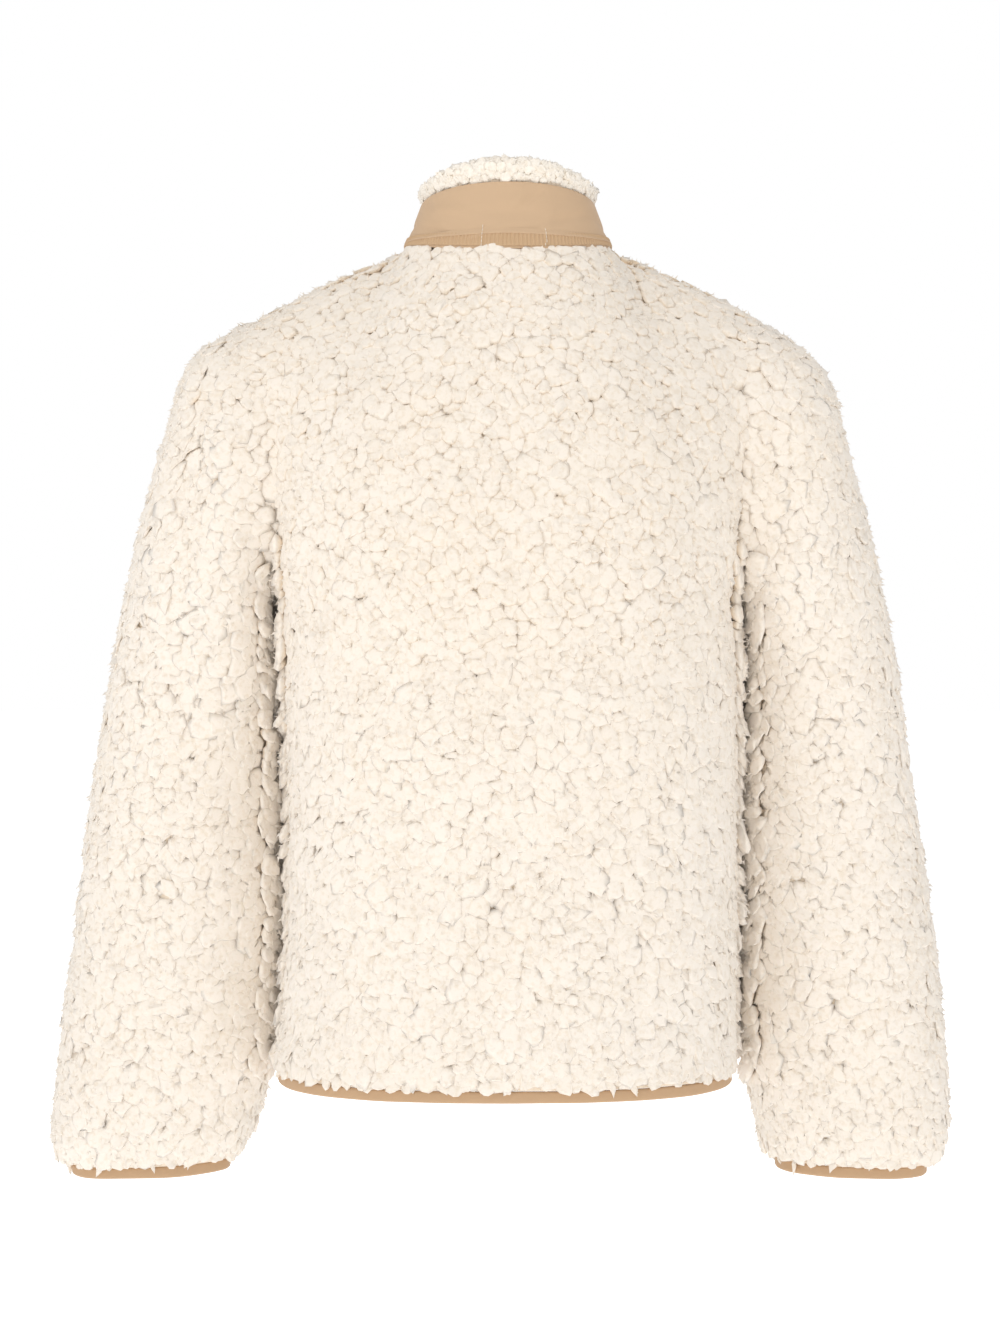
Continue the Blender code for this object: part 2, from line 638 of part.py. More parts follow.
def build_collar(surface, way):
    """The woven shell, the pile facing that rises above it, and the tape along the neck seam."""
    height = COLLAR_TOP_BACK_Z - NECK_BACK_Z
    foot = lerp_rows(surface, SHELL_LIFT / height * COLLAR_ROWS)[None]
    add_wall("collar_shell", np.concatenate([foot, surface[1:]]), way, (0.0, SHELL_WALL), "tan_cloth")
    roll = np.array(FACING_ROLL)
    above = collar_surface(1.0 + roll[:, 0] / height, FACING_FRONT_SHARE)
    lowest = FACING_LIFT / height * COLLAR_ROWS
    facing = np.concatenate([lerp_rows(surface, lowest)[None], surface[1:], above])
    facing_way = np.concatenate([way, np.repeat(way[-1:], len(roll), axis=0)])
    outer = np.concatenate([np.full(len(surface), SHELL_WALL + SEAM_GAP), roll[:, 1]])
    inner = np.concatenate([np.full(len(surface), FACING_DEPTH), roll[:, 2]])
    add_wall("collar_facing", facing, facing_way, (outer, inner), "sherpa")

    shares = np.array([NECK_TAPE_FROM, NECK_TAPE_TO]) / height * COLLAR_ROWS
    low, high = (lerp_rows(surface, share) for share in shares)
    low_way, high_way = (lerp_rows(way, share) for share in shares)
    depths = (-SEAM_GAP - TAPE_WALL, -SEAM_GAP)
    add_wall("neck_tape", np.array([low, high]), np.array([low_way, high_way]), depths, "tan_cloth")


def lerp_rows(array, place_in_rows):
    """A row read between two rows."""
    row = int(place_in_rows)
    share = place_in_rows - row
    return (1 - share) * array[row] + share * array[row + 1]


def build_bindings(surfaces, ways):
    """The tan cloth that closes the hem and the cuffs, each a band below the end of the pile."""
    edge, way = (
        np.vstack([found["front_left"][0], found["back"][0][1:], found["front_right"][0][1:]])
        for found in (surfaces, ways)
    )
    down = np.array([0.0, 0.0, -1.0])
    add_band("hem_binding", edge, way, down, HEM_BINDING_INSET, closed=False)
    for name in ("sleeve_left", "sleeve_right"):
        end, end_way = surfaces[name][-1], ways[name][-1]
        axis = np.cross(end[6] - end[0], end[12] - end[0])
        axis *= -np.sign(axis[2]) / np.linalg.norm(axis)
        binding = name.replace("sleeve", "cuff_binding")
        add_band(binding, end, end_way, axis, CUFF_BINDING_INSET, closed=True)


def add_band(name, edge, way, down, inset, closed):
    """A level band under the body's rim, or a closed one past a sleeve's."""
    drops = (SEAM_GAP / 2, BINDING_DROP + SEAM_GAP)
    rows = np.array([edge + down * drop for drop in (drops if closed else drops[::-1])])
    depths = (inset, inset + BINDING_WALL)
    add_wall(name, rows, np.array([way, way]), depths, "tan_cloth", closed)


def front_line(surfaces):
    """The front edge's y and z from the hem to the top of the collar, with the way out of it."""
    body = surfaces["front_left"][:, 0]
    collar = surfaces["collar"][1:, 0]
    line = np.vstack([body, collar]) - (FRONT_EDGE_X, 0.0, 0.0)
    end = line[0] + (0.0, 0.0, -BINDING_DROP)
    line = np.vstack([end, line])
    along = np.gradient(line, axis=0)
    along[:, 0] = 0.0
    along /= np.linalg.norm(along, axis=1, keepdims=True)
    way = np.stack([np.zeros(len(line)), -along[:, 2], along[:, 1]], axis=1)
    return line, way


def add_strip(name, line, way, side_x, depths, colour):
    """A flat strip that follows the front edge, between two places across it."""
    surface = np.stack([line + (x, 0.0, 0.0) for x in side_x], axis=1)
    ways = np.stack([way, way], axis=1)
    return add_wall(name, surface, ways, depths, colour)


def build_zip(surfaces):
    line, way = front_line(surfaces)
    tape_x = (CHAIN_HALF_WIDTH, FRONT_EDGE_X)
    add_strip("zip_tape_left", line, way, tape_x, ZIP_TAPE_DEPTHS, "zip_tape")
    add_strip("zip_tape_right", line, way, (-tape_x[1], -tape_x[0]), ZIP_TAPE_DEPTHS, "zip_tape")

    chain_y = NECK_FRONT_Y + sum(CHAIN_DEPTHS) / 2
    post_z = SLIDER_TOP_Z - SLIDER_PLATE
    chain_top = post_z - SLIDER_PLATE / 2 - SEAM_GAP
    bottom = line[0, 2] + SLIDER_LENGTH
    between = line[(line[:, 2] > bottom) & (line[:, 2] < chain_top), 2]
    heights = np.concatenate([[bottom], between, [chain_top]])
    chain, chain_way = (
        np.stack([np.interp(heights, line[:, 2], run[:, k]) for k in range(3)], axis=1)
        for run in (line, way)
    )
    half = CHAIN_HALF_WIDTH - SEAM_GAP / 2
    add_strip("zip_chain", chain, chain_way, (-half, half), CHAIN_DEPTHS, "zip_teeth")

    retainer = (RETAINER_WIDTH, RETAINER_THICK, SLIDER_LENGTH - 2 * SEAM_GAP)
    front_y = line[0, 1] + ZIP_TAPE_DEPTHS[0] - SEAM_GAP - RETAINER_THICK / 2
    middle_z = bottom - SLIDER_LENGTH / 2 - SEAM_GAP
    soften(add("zip_box", box(retainer, (0.0, front_y, middle_z)), "zip_metal"), 0.0004)
    return chain_y, post_z


def build_slider(chain_y, post_z):
    """Two plates joined by a post above the chain, with a wire bail that carries the pull."""
    plate_gap = CHAIN_DEPTHS[1] - CHAIN_DEPTHS[0] + 4 * SEAM_GAP
    plate_y = plate_gap / 2 + SLIDER_PLATE / 2
    middle_z = SLIDER_TOP_Z - SLIDER_LENGTH / 2
    plate = (SLIDER_WIDTH, SLIDER_PLATE, SLIDER_LENGTH)
    slider = add("zip_slider", box(plate, (0.0, chain_y - plate_y, middle_z)), "zip_metal")
    unite(slider, box(plate, (0.0, chain_y + plate_y, middle_z)))
    unite(slider, box((POST_WIDTH, 2 * plate_y, SLIDER_PLATE), (0.0, chain_y, post_z)))
    front_y = chain_y - plate_y - SLIDER_PLATE / 2
    sunk = front_y + 0.0004
    arch = [(0.0, sunk, middle_z + BAIL_HALF_HEIGHT)]
    for angle in np.radians(np.linspace(0.0, 180.0, 9)):
        out = BAIL_LEGS + (BAIL_REACH - BAIL_LEGS) * math.sin(angle)
        arch.append((0.0, front_y - out, middle_z + BAIL_HALF_HEIGHT * math.cos(angle)))
    arch.append((0.0, sunk, middle_z - BAIL_HALF_HEIGHT))
    unite(slider, wire_mesh(arch, BAIL_WIRE))
    return front_y, middle_z


def build_pull(front_y, middle_z):
    """A plate with a slot. The bar above the slot runs through the bail, on the hinge's axis."""
    bar = PULL_THICK
    axis = (0.0, front_y - (BAIL_REACH - BAIL_WIRE) + bar * 0.75, middle_z)
    plate = (PULL_WIDTH, PULL_THICK, PULL_LENGTH)
    pull = add("zip_pull", box(plate, (0.0, 0.0, bar / 2 - PULL_LENGTH / 2)), "zip_metal")
    slot = (PULL_WIDTH - 2 * bar, 3 * PULL_THICK, PULL_SLOT)
    cut(pull, box(slot, (0.0, 0.0, -bar / 2 - PULL_SLOT / 2))).location = axis
    soften(pull, 0.0003)
    pull.location = axis


jacket = cleared_scene("Fleece jacket")
helpers = bpy.data.collections.new("Helpers")
bpy.context.scene.collection.children.link(helpers)

outer_surfaces = cloth_surfaces()
all_closed = [name.startswith("sleeve") for name in outer_surfaces]
all_ways = ways_out(list(outer_surfaces.values()), all_closed)
wall_ways = trued_ways(outer_surfaces, dict(zip(outer_surfaces, all_ways)))
build_panels(outer_surfaces, wall_ways)
build_collar(outer_surfaces["collar"], wall_ways["collar"])
build_bindings(outer_surfaces, wall_ways)
chain_middle_y, slider_post_z = build_zip(outer_surfaces)
slider_front_y, slider_z = build_slider(chain_middle_y, slider_post_z)
build_pull(slider_front_y, slider_z)
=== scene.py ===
# %% [markdown]
# # A deep-pile fleece jacket in Blender
# This lesson dresses a plain solid model of a jacket: cream curly pile on a knitted backing, a
# tan woven stand collar, a pile facing that rolls over the collar's edge, tan bindings and a
# front zip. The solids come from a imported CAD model, which is the fixed frame. Everything here
# is in metres in its space: +Z up, the front faces -Y, and +X is the wearer's left.

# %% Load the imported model
import math

import bmesh
import bpy
import numpy as np
from mathutils.kdtree import KDTree
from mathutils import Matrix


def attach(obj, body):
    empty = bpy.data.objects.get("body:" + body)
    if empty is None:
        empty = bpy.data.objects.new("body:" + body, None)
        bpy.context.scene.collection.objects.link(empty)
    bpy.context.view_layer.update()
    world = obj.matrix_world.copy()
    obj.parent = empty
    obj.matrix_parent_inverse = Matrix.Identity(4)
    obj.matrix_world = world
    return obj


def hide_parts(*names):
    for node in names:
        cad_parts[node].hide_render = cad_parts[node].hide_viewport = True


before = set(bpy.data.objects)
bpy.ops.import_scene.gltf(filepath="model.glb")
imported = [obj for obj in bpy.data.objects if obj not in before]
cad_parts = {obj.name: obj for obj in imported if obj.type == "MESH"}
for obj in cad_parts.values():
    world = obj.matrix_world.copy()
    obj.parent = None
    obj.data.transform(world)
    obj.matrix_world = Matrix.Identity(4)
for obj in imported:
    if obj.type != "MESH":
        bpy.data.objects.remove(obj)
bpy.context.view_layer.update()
rng = np.random.default_rng(20)
print("nodes of the solid model:", len(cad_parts))

# %% [markdown]
# ## The cut of the jacket
# The visible cloth must lie exactly on the solid panels. A mesh could be read back from them,
# but a mesh has no order from which to grow seams and pile. So the same few measurements are
# written down again here: level sections of the body, sections across the sleeves, and the
# curves of neck and armholes. A section table is quick to compare with a photograph.

# %% Sections of the body and sleeves
UNDERARM_X, UNDERARM_Z = 0.1790, -0.2800
SHOULDER_TIP = (0.2000, -0.0040, -0.0565)
SHOULDER_CROWN = 0.0045
BODY_SQUARENESS, NECK_SQUARENESS, SLEEVE_SQUARENESS = 2.5, 2.15, 2.2
FRONT_EDGE_X = 0.0070
BODY_COLUMNS, NECK_COLUMNS, YOKE_ROWS, COLLAR_ROWS = 12, 6, 12, 4
ARMHOLE_DEPTHS, ARMHOLE_HOLLOW = {1: 0.0670, -1: 0.0650}, 0.0060  # behind (1) and before (-1)
PILE_WALL = 0.0090

# columns: z, half width, depth behind the middle, depth before the middle
TORSO = (
    (-0.6510, 0.1835, 0.1360, 0.1370),
    (-0.6280, 0.1800, 0.1375, 0.1385),
    (-0.5900, 0.1772, 0.1390, 0.1400),
    (-0.5400, 0.1765, 0.1410, 0.1410),
    (-0.4850, 0.1765, 0.1425, 0.1420),
    (-0.4300, 0.1768, 0.1440, 0.1435),
    (-0.3780, 0.1778, 0.1455, 0.1455),
    (-0.3280, 0.1788, 0.1465, 0.1475),
    (UNDERARM_Z, UNDERARM_X, 0.1470, 0.1485),
)

# columns: z, how far the body hangs to the wearer's left
SWAY = (
    (-0.6510, 0.0024),
    (-0.6000, -0.0010),
    (-0.5400, -0.0035),
    (-0.4000, -0.0035),
    (-0.3200, -0.0012),
    (UNDERARM_Z, 0.0),
)

# columns: inner z, outer z, full depth, y of the middle, then inner and outer x of the left
# sleeve and of the right one, which hangs a little closer
SLEEVE_SECTIONS = (
    (-0.2860, -0.0700, 0.1450, -0.0015, 0.1860, 0.2260, 0.1860, 0.2220),
    (-0.2960, -0.0880, 0.1520, -0.0030, 0.1895, 0.2480, 0.1900, 0.2430),
    (-0.3080, -0.1150, 0.1540, -0.0050, 0.1900, 0.2620, 0.1915, 0.2570),
    (-0.3220, -0.1520, 0.1540, -0.0080, 0.1888, 0.2740, 0.1920, 0.2710),
    (-0.3400, -0.2020, 0.1530, -0.0120, 0.1865, 0.2890, 0.1915, 0.2850),
    (-0.3650, -0.2640, 0.1520, -0.0180, 0.1840, 0.3040, 0.1905, 0.2980),
    (-0.4000, -0.3350, 0.1500, -0.0260, 0.1810, 0.3190, 0.1890, 0.3130),
    (-0.4450, -0.4050, 0.1480, -0.0330, 0.1785, 0.3320, 0.1868, 0.3240),
    (-0.4900, -0.4700, 0.1450, -0.0380, 0.1778, 0.3420, 0.1858, 0.3340),
    (-0.5350, -0.5300, 0.1410, -0.0420, 0.1782, 0.3510, 0.1858, 0.3430),
    (-0.5800, -0.5850, 0.1360, -0.0455, 0.1810, 0.3580, 0.1880, 0.3500),
    (-0.6250, -0.6380, 0.1300, -0.0485, 0.1870, 0.3640, 0.1915, 0.3560),
    (-0.6650, -0.6830, 0.1220, -0.0510, 0.1950, 0.3700, 0.1965, 0.3590),
    (-0.7000, -0.7120, 0.1120, -0.0530, 0.2040, 0.3720, 0.2030, 0.3590),
    (-0.7210, -0.7290, 0.1020, -0.0540, 0.2140, 0.3705, 0.2070, 0.3560),
    (-0.7330, -0.7380, 0.0940, -0.0545, 0.2230, 0.3620, 0.2150, 0.3480),
)
print("body sections:", len(TORSO), "sleeve sections:", len(SLEEVE_SECTIONS))

# %% [markdown]
# Worn cloth is never a clean tube. Broad troughs and swells are part of the solid's form. Each
# is a long round-ended dent, given by its place, its size, its slant and its depth.

# %% Broad folds that the solids have
# columns: x, z, reach across it, half its length, slant in degrees from level, depth
BACK_FOLDS = (
    (0.030, -0.330, 0.020, 0.120, -4.0, -0.0040),
    (-0.010, -0.463, 0.022, 0.130, 5.0, -0.0040),
    (0.020, -0.395, 0.026, 0.110, 0.0, 0.0030),
    (0.150, -0.215, 0.020, 0.075, 68.0, -0.0060),
    (-0.150, -0.205, 0.020, 0.080, -66.0, -0.0060),
    (-0.090, -0.575, 0.020, 0.085, 74.0, -0.0035),
    (0.100, -0.565, 0.022, 0.090, -76.0, -0.0035),
)
FRONT_FOLDS = (
    (0.120, -0.230, 0.022, 0.080, 58.0, -0.0055),
    (0.085, -0.400, 0.022, 0.070, 12.0, -0.0035),
    (0.100, -0.550, 0.022, 0.085, 78.0, -0.0035),
)
# columns: section, degrees round from the outer edge by way of the back, reach in sections,
# reach in degrees, sections that it drops over its reach round, depth
LEFT_DENTS = (
    (1.7, 0.0, 1.0, 45.0, 0.0, 0.0050),
    (3.6, 62.0, 1.5, 26.0, 2.4, -0.0080),
    (7.4, 120.0, 0.9, 55.0, 0.8, -0.0060),
    (9.6, 60.0, 0.9, 60.0, -0.6, -0.0045),
    (12.4, 110.0, 0.8, 55.0, 0.5, -0.0050),
    (7.0, 285.0, 0.9, 50.0, 0.6, -0.0055),
    (11.0, 250.0, 0.9, 50.0, -0.5, -0.0045),
)
RIGHT_DENTS = (
    (3.3, 5.0, 0.6, 45.0, 0.3, 0.0060),
    (4.3, 10.0, 0.55, 55.0, 0.5, -0.0090),
    (6.2, 105.0, 0.9, 45.0, -0.8, -0.0065),
    (8.9, 75.0, 0.9, 60.0, 0.6, -0.0045),
    (11.8, 120.0, 0.8, 55.0, -0.4, -0.0050),
    (6.8, 280.0, 0.9, 50.0, -0.6, -0.0055),
    (10.6, 255.0, 0.9, 50.0, 0.5, -0.0045),
)
print("folds of the back:", len(BACK_FOLDS), "dents of the sleeves:", len(LEFT_DENTS) * 2)

# %% [markdown]
# ## Curves of the pattern
# The body's sections are rounded boxes, softer than a rectangle and fuller than an ellipse.
# A superellipse gives all shapes between with a single number. Points are then spaced evenly
# along each curve, so that the columns of neighbouring sections line up.

# %% Even spacing and rounded sections
def arc(points):
    """How far along a run of points each of them is."""
    steps = np.linalg.norm(np.diff(points, axis=0), axis=1)
    return np.concatenate([[0.0], np.cumsum(steps)])


def at_distance(wanted, along, points):
    """Places on a run of points, at wanted distances along it."""
    return np.stack([np.interp(wanted, along, points[:, k]) for k in range(3)], axis=-1)


def even(points, count):
    """The ends and count - 1 points between them, evenly spaced along a run of points."""
    along = arc(points)
    return at_distance(np.linspace(0.0, along[-1], count + 1), along, points)


def rounded(angle, squareness):
    """Sine and cosine of an angle on a rounded box: a circle at a squareness of 2."""
    sine, cosine = np.sin(angle), np.cos(angle)
    power = 2.0 / squareness
    return np.sign(sine) * np.abs(sine) ** power, np.sign(cosine) * np.abs(cosine) ** power


def fine_angles(first, last):
    return np.radians(np.linspace(first, last, 361))


def torso_half_ring(z, half_width, depth, side, start_x):
    """From the middle, or start_x, to the side seam. side is 1 for the back, -1 for the front."""
    across, back = rounded(fine_angles(0.0, 90.0), BODY_SQUARENESS)
    ring = np.stack([half_width * across, side * depth * back, np.full(across.shape, z)], axis=1)
    middle = np.array([start_x, np.interp(start_x, ring[:, 0], ring[:, 1]), z])
    return even(np.vstack([middle, ring[ring[:, 0] > start_x]]), BODY_COLUMNS)


hem_quarter = torso_half_ring(*TORSO[0][:3], 1, 0.0)
print("hem from the middle of the back to the side seam:", round(float(arc(hem_quarter)[-1]), 4), "m")

# %% [markdown]
# The neck seam and the collar's top edge are one family of curves. `rise` goes from 0 at the
# seam to 1 at the top edge, and past 1 it continues to where the facing stands above the edge.

# %% Neck, collar and armhole curves
NECK_HALF_WIDTH, NECK_BACK, NECK_FRONT = 0.0830, (0.0730, -0.0100), (-0.0860, -0.0650)
COLLAR_TOP_HALF_WIDTH, COLLAR_TOP_BACK = 0.0690, (0.0610, 0.0445)
COLLAR_TOP_SIDE_Z, COLLAR_TOP_FRONT_Z = 0.0370, 0.0080
COLLAR_HEIGHT = COLLAR_TOP_BACK[1] - NECK_BACK[1]
NECK_DIP = 1.8  # how late the seam drops from the side of the neck to its middle


def neck_points(angles, rise):
    """The angle goes from the middle of the back, 0, by the wearer's left to the front, 180."""
    across, along = rounded(np.radians(angles), NECK_SQUARENESS)
    behind = along > 0
    back_y = NECK_BACK[0] + rise * (COLLAR_TOP_BACK[0] - NECK_BACK[0]) - SHOULDER_TIP[1]
    front_y = SHOULDER_TIP[1] - NECK_FRONT[0]
    side_z = rise * COLLAR_TOP_SIDE_Z
    back_z = NECK_BACK[1] + rise * (COLLAR_TOP_BACK[1] - NECK_BACK[1]) - side_z
    front_z = NECK_FRONT[1] + rise * (COLLAR_TOP_FRONT_Z - NECK_FRONT[1]) - side_z
    half_width = NECK_HALF_WIDTH + rise * (COLLAR_TOP_HALF_WIDTH - NECK_HALF_WIDTH)
    x = half_width * across
    y = SHOULDER_TIP[1] + along * np.where(behind, back_y, front_y)
    z = side_z + np.abs(along) ** NECK_DIP * np.where(behind, back_z, front_z)
    return np.stack([x, y, z], axis=1)


def neck_angles():
    """Angles of the neck seam's points: the back half, then the front half down to the zip."""
    half = 1800
    fine = np.linspace(0.0, 180.0, 2 * half + 1)
    seam = neck_points(fine, 0.0)
    along = arc(seam)
    side = along[half]
    front_edge = np.interp(-FRONT_EDGE_X, -seam[half:, 0], along[half:])
    back = np.interp(np.linspace(0.0, side, NECK_COLUMNS + 1), along, fine)
    front = np.interp(np.linspace(side, front_edge, NECK_COLUMNS + 1), along, fine)
    return back, front


def armhole_half(side):
    """From the underarm up to the shoulder tip, by the back (side 1) or the front (-1)."""
    up, out = rounded(fine_angles(-90.0, 90.0), SLEEVE_SQUARENESS)
    share = (up + 1) / 2
    x = UNDERARM_X + share * (SHOULDER_TIP[0] - UNDERARM_X) - ARMHOLE_HOLLOW * out
    y = share * SHOULDER_TIP[1] + side * ARMHOLE_DEPTHS[side] * out
    z = UNDERARM_Z + share * (SHOULDER_TIP[2] - UNDERARM_Z)
    return even(np.stack([x, y, z], axis=1), YOKE_ROWS)


print("armhole points from underarm to shoulder:", len(armhole_half(1)))

# %% [markdown]
# ## Panels as grids of points
# A panel of cloth is a grid: rows run up the body, columns run across it. Above the underarm
# the grid fills a patch between four seams. Blending the seams' shapes into it, and letting
# them fade towards the middle, gives the yoke its even roundness without a cloth simulation.

# %% The yoke patch, the folds and half a body
PATCH_FADE = 3.0  # how close to a seam its shape is felt
# how the middle line leaves the underarm's level and arrives at the neck, back (1) and front (-1)
MIDDLE_HANDLES = {1: ((0.0, 0.001, 0.100), (0.0, 0.036, -0.060)),
                  -1: ((0.0, -0.001, 0.070), (0.0, -0.022, -0.050))}


def patch(bottom, top, first, last):
    """A grid of points between four seams."""
    high = np.linspace(0.0, 1.0, len(first))[:, None, None] ** PATCH_FADE
    far = np.linspace(0.0, 1.0, len(bottom))[None, :, None] ** PATCH_FADE
    sides = (1 - far) * first[:, None] + far * last[:, None]
    low_corners = (1 - far) * bottom[0] + far * bottom[-1]
    high_corners = (1 - far) * top[0] + far * top[-1]
    return sides + (1 - high) * (bottom[None] - low_corners) + high * (top[None] - high_corners)


def turned(across, up, degrees):
    """Along and away from a line at a slant, for places across and up from its middle."""
    slant = math.radians(degrees)
    return (across * math.cos(slant) + up * math.sin(slant),
            up * math.cos(slant) - across * math.sin(slant))


def folded(surface, folds, side):
    """The surface with broad folds, which fade out before its seams."""
    rows, columns = surface.shape[:2]
    u = np.linspace(0.0, 1.0, columns)[None, :]
    v = np.linspace(0.0, 1.0, rows)[:, None]
    fade = np.minimum(1.0, 5 * (1 - u)) * np.minimum(1.0, 5 * v) * np.minimum(1.0, 5 * (1 - v))
    for x, z, reach, length, slant, depth in folds:
        along, away = turned(surface[..., 0] - x, surface[..., 2] - z, slant)
        dent = depth * np.exp(-((away / reach) ** 2) - (along / length) ** 2)
        surface[..., 1] += side * dent * fade
    return surface


def bezier(start, after_start, before_end, end, count):
    t = np.linspace(0.0, 1.0, 161)[:, None]
    curve = ((1 - t) ** 3 * start + 3 * t * (1 - t) ** 2 * after_start
             + 3 * t**2 * (1 - t) * before_end + t**3 * end)
    return even(curve, count)


def body_quarter(side, folds):
    """Half a back (side 1) or one front (side -1), columns from the middle to the left."""
    start_x = 0.0 if side > 0 else FRONT_EDGE_X
    rings = [torso_half_ring(z, half_width, behind if side > 0 else before, side, start_x)
             for z, half_width, behind, before in TORSO]
    angles = neck_angles()[0] if side > 0 else neck_angles()[1][::-1]
    neck = neck_points(angles, 0.0)
    share = np.linspace(0.0, 1.0, BODY_COLUMNS - NECK_COLUMNS + 1)
    shoulder = neck[-1] + share[:, None] * (SHOULDER_TIP - neck[-1])
    shoulder[:, 2] += SHOULDER_CROWN * 4 * share * (1 - share)
    top = np.vstack([neck, shoulder[1:]])
    bottom = rings[-1]
    leave, arrive = MIDDLE_HANDLES[side]
    middle = bezier(bottom[0], bottom[0] + leave, top[0] + arrive, top[0], YOKE_ROWS)
    yoke = patch(bottom, top, middle, armhole_half(side))
    return folded(np.concatenate([np.array(rings[:-1]), yoke]), folds, side)


print("half a back:", body_quarter(1, BACK_FOLDS).shape, "rows, columns, xyz")

# %% [markdown]
# A sleeve is a stack of rings. Its first ring is the armhole seam itself, shared with the
# panels of the body, so the sleeve can't stand off from them.

# %% Sleeves and collar
def sleeve_ring(section, side):
    """A closed ring: the outer edge, then round by the back, the inner edge and the front."""
    inner_z, outer_z, depth, middle_y = section[:4]
    inner_x, outer_x = section[4:6] if side > 0 else section[6:]
    inner, outer = np.array([inner_x, 0, inner_z]), np.array([outer_x, 0, outer_z])
    back, out = rounded(fine_angles(0.0, 180.0), SLEEVE_SQUARENESS)
    half = (inner + outer) / 2 + out[:, None] * (outer - inner) / 2
    half[:, 1] = middle_y + back * depth / 2
    half = even(half, YOKE_ROWS)
    other = half[-2:0:-1].copy()
    other[:, 1] = 2 * middle_y - other[:, 1]
    return np.vstack([half, other]) * (side, 1, 1)


def sleeve(dents, side):
    """A grid of rings from the armhole to the cuff, on the wearer's left (1) or right (-1)."""
    back, front = armhole_half(1)[::-1], armhole_half(-1)[1:-1]
    rings = [np.vstack([back, front]) * (side, 1, 1)]
    rings += [sleeve_ring(section, side) for section in SLEEVE_SECTIONS]
    surface = np.array(rings)
    section = np.arange(len(rings))[:, None]
    angle = np.arange(surface.shape[1])[None, :] * 360.0 / surface.shape[1]
    out = surface - surface.mean(axis=1, keepdims=True)
    out /= np.linalg.norm(out, axis=2, keepdims=True)
    fade = np.clip(section / 2.0, 0, 1) * np.clip((len(rings) - 1 - section) / 2.0, 0, 1)
    for at, round_at, reach, round_reach, drop, depth in dents:
        turn = (angle - round_at + 180.0) % 360.0 - 180.0
        away = section - at - drop * turn / round_reach
        dent = depth * np.exp(-((away / reach) ** 2) - (turn / round_reach) ** 2) * fade
        surface += out * dent[..., None]
    return surface


def collar_surface(rises, front_share=1.0):
    """Rows up the collar, columns from the left front edge round the back to the right one."""
    back, front = neck_angles()
    left = np.concatenate([back, front[1:]])[::-1]
    shares = 1 - (1 - front_share) * (left / 180.0) ** 2
    rows = []
    for rise in rises:
        half = neck_points(left, min(rise, 1.0) + max(rise - 1.0, 0.0) * shares)
        if rise > 0:
            half[0, 0] = FRONT_EDGE_X
        rows.append(np.vstack([half, half[-2::-1] * (-1, 1, 1)]))
    return np.array(rows)


def swayed(surface):
    """The body hangs a little to one side, more at some heights than at others."""
    heights, shifts = np.transpose(SWAY)
    surface[..., 0] += np.interp(surface[..., 2], heights, shifts)
    return surface


half_back = body_quarter(1, BACK_FOLDS)
half_front = body_quarter(-1, FRONT_FOLDS)
coarse = {
    "back": swayed(np.concatenate([half_back[:, :0:-1] * (-1, 1, 1), half_back], axis=1)[:, ::-1]),
    "front_left": swayed(half_front.copy()),
    "front_right": swayed((half_front * (-1, 1, 1))[:, ::-1]),
    "sleeve_left": np.roll(sleeve(LEFT_DENTS, 1)[:, ::-1], 1, axis=1),
    "sleeve_right": sleeve(RIGHT_DENTS, -1),
    "collar": collar_surface(np.linspace(0.0, 1.0, COLLAR_ROWS + 1)),
}
for panel, surface in coarse.items():
    print(panel, surface.shape)

# %% [markdown]
# Cloth has a thickness, and where two panels meet they must agree on which way is out. Each
# seam point therefore gets one direction, averaged over all the panels that touch it.

# %% One shared way out at every point
LEAST_SPREAD = 0.72  # a sharp corner is mitred no longer than this allows
SLEEVES = ("sleeve_left", "sleeve_right")


def place(point):
    """A point as a key: seam points that agree to a micrometre are the same place."""
    return tuple(np.round(point, 6) + 0.0)


def ways_out(surfaces, closed):
    """The direction out of the cloth at every point, longer where panels meet at an angle."""
    sums, faces_at = {}, {}
    for surface, is_closed in zip(surfaces, closed):
        rows, columns = surface.shape[:2]
        for i in range(rows - 1):
            for j in range(columns if is_closed else columns - 1):
                k = (j + 1) % columns
                corners = surface[i, j], surface[i, k], surface[i + 1, k], surface[i + 1, j]
                area = np.cross(corners[2] - corners[0], corners[3] - corners[1])
                unit = area / np.linalg.norm(area)
                for corner in corners:
                    key = place(corner)
                    sums[key] = sums.get(key, 0) + unit
                    faces_at.setdefault(key, []).append(unit)
    ways = []
    for surface in surfaces:
        way = np.empty_like(surface)
        for index in np.ndindex(surface.shape[:2]):
            key = place(surface[index])
            mean = sums[key] / np.linalg.norm(sums[key])
            spread = np.mean([mean @ unit for unit in faces_at[key]])
            way[index] = mean / max(spread, LEAST_SPREAD)
        ways.append(way)
    return ways


def flattened(way, axis):
    """Ways out with what they have along an axis taken away."""
    flat = way - (way @ axis)[:, None] * axis
    return flat / np.linalg.norm(flat, axis=1, keepdims=True)


def ring_axis(ring):
    """The way down and out of a sleeve, square to its ring."""
    quarter = YOKE_ROWS // 2
    axis = np.cross(ring[quarter] - ring[0], ring[2 * quarter] - ring[0])
    return axis * -np.sign(axis[2]) / np.linalg.norm(axis)


coarse_ways = dict(zip(coarse, ways_out(coarse.values(), [name in SLEEVES for name in coarse])))
for name in ("back", "front_left", "front_right"):
    coarse_ways[name][0] = flattened(coarse_ways[name][0], np.array([0.0, 0.0, 1.0]))
for name in SLEEVES:
    coarse_ways[name][-1] = flattened(coarse_ways[name][-1], ring_axis(coarse[name][-1]))
for name, columns in (("front_left", [0]), ("front_right", [-1]), ("collar", [0, -1])):
    coarse_ways[name][:, columns, 0] = 0.0
print("ways out for", sum(way.shape[0] * way.shape[1] for way in coarse_ways.values()), "points")

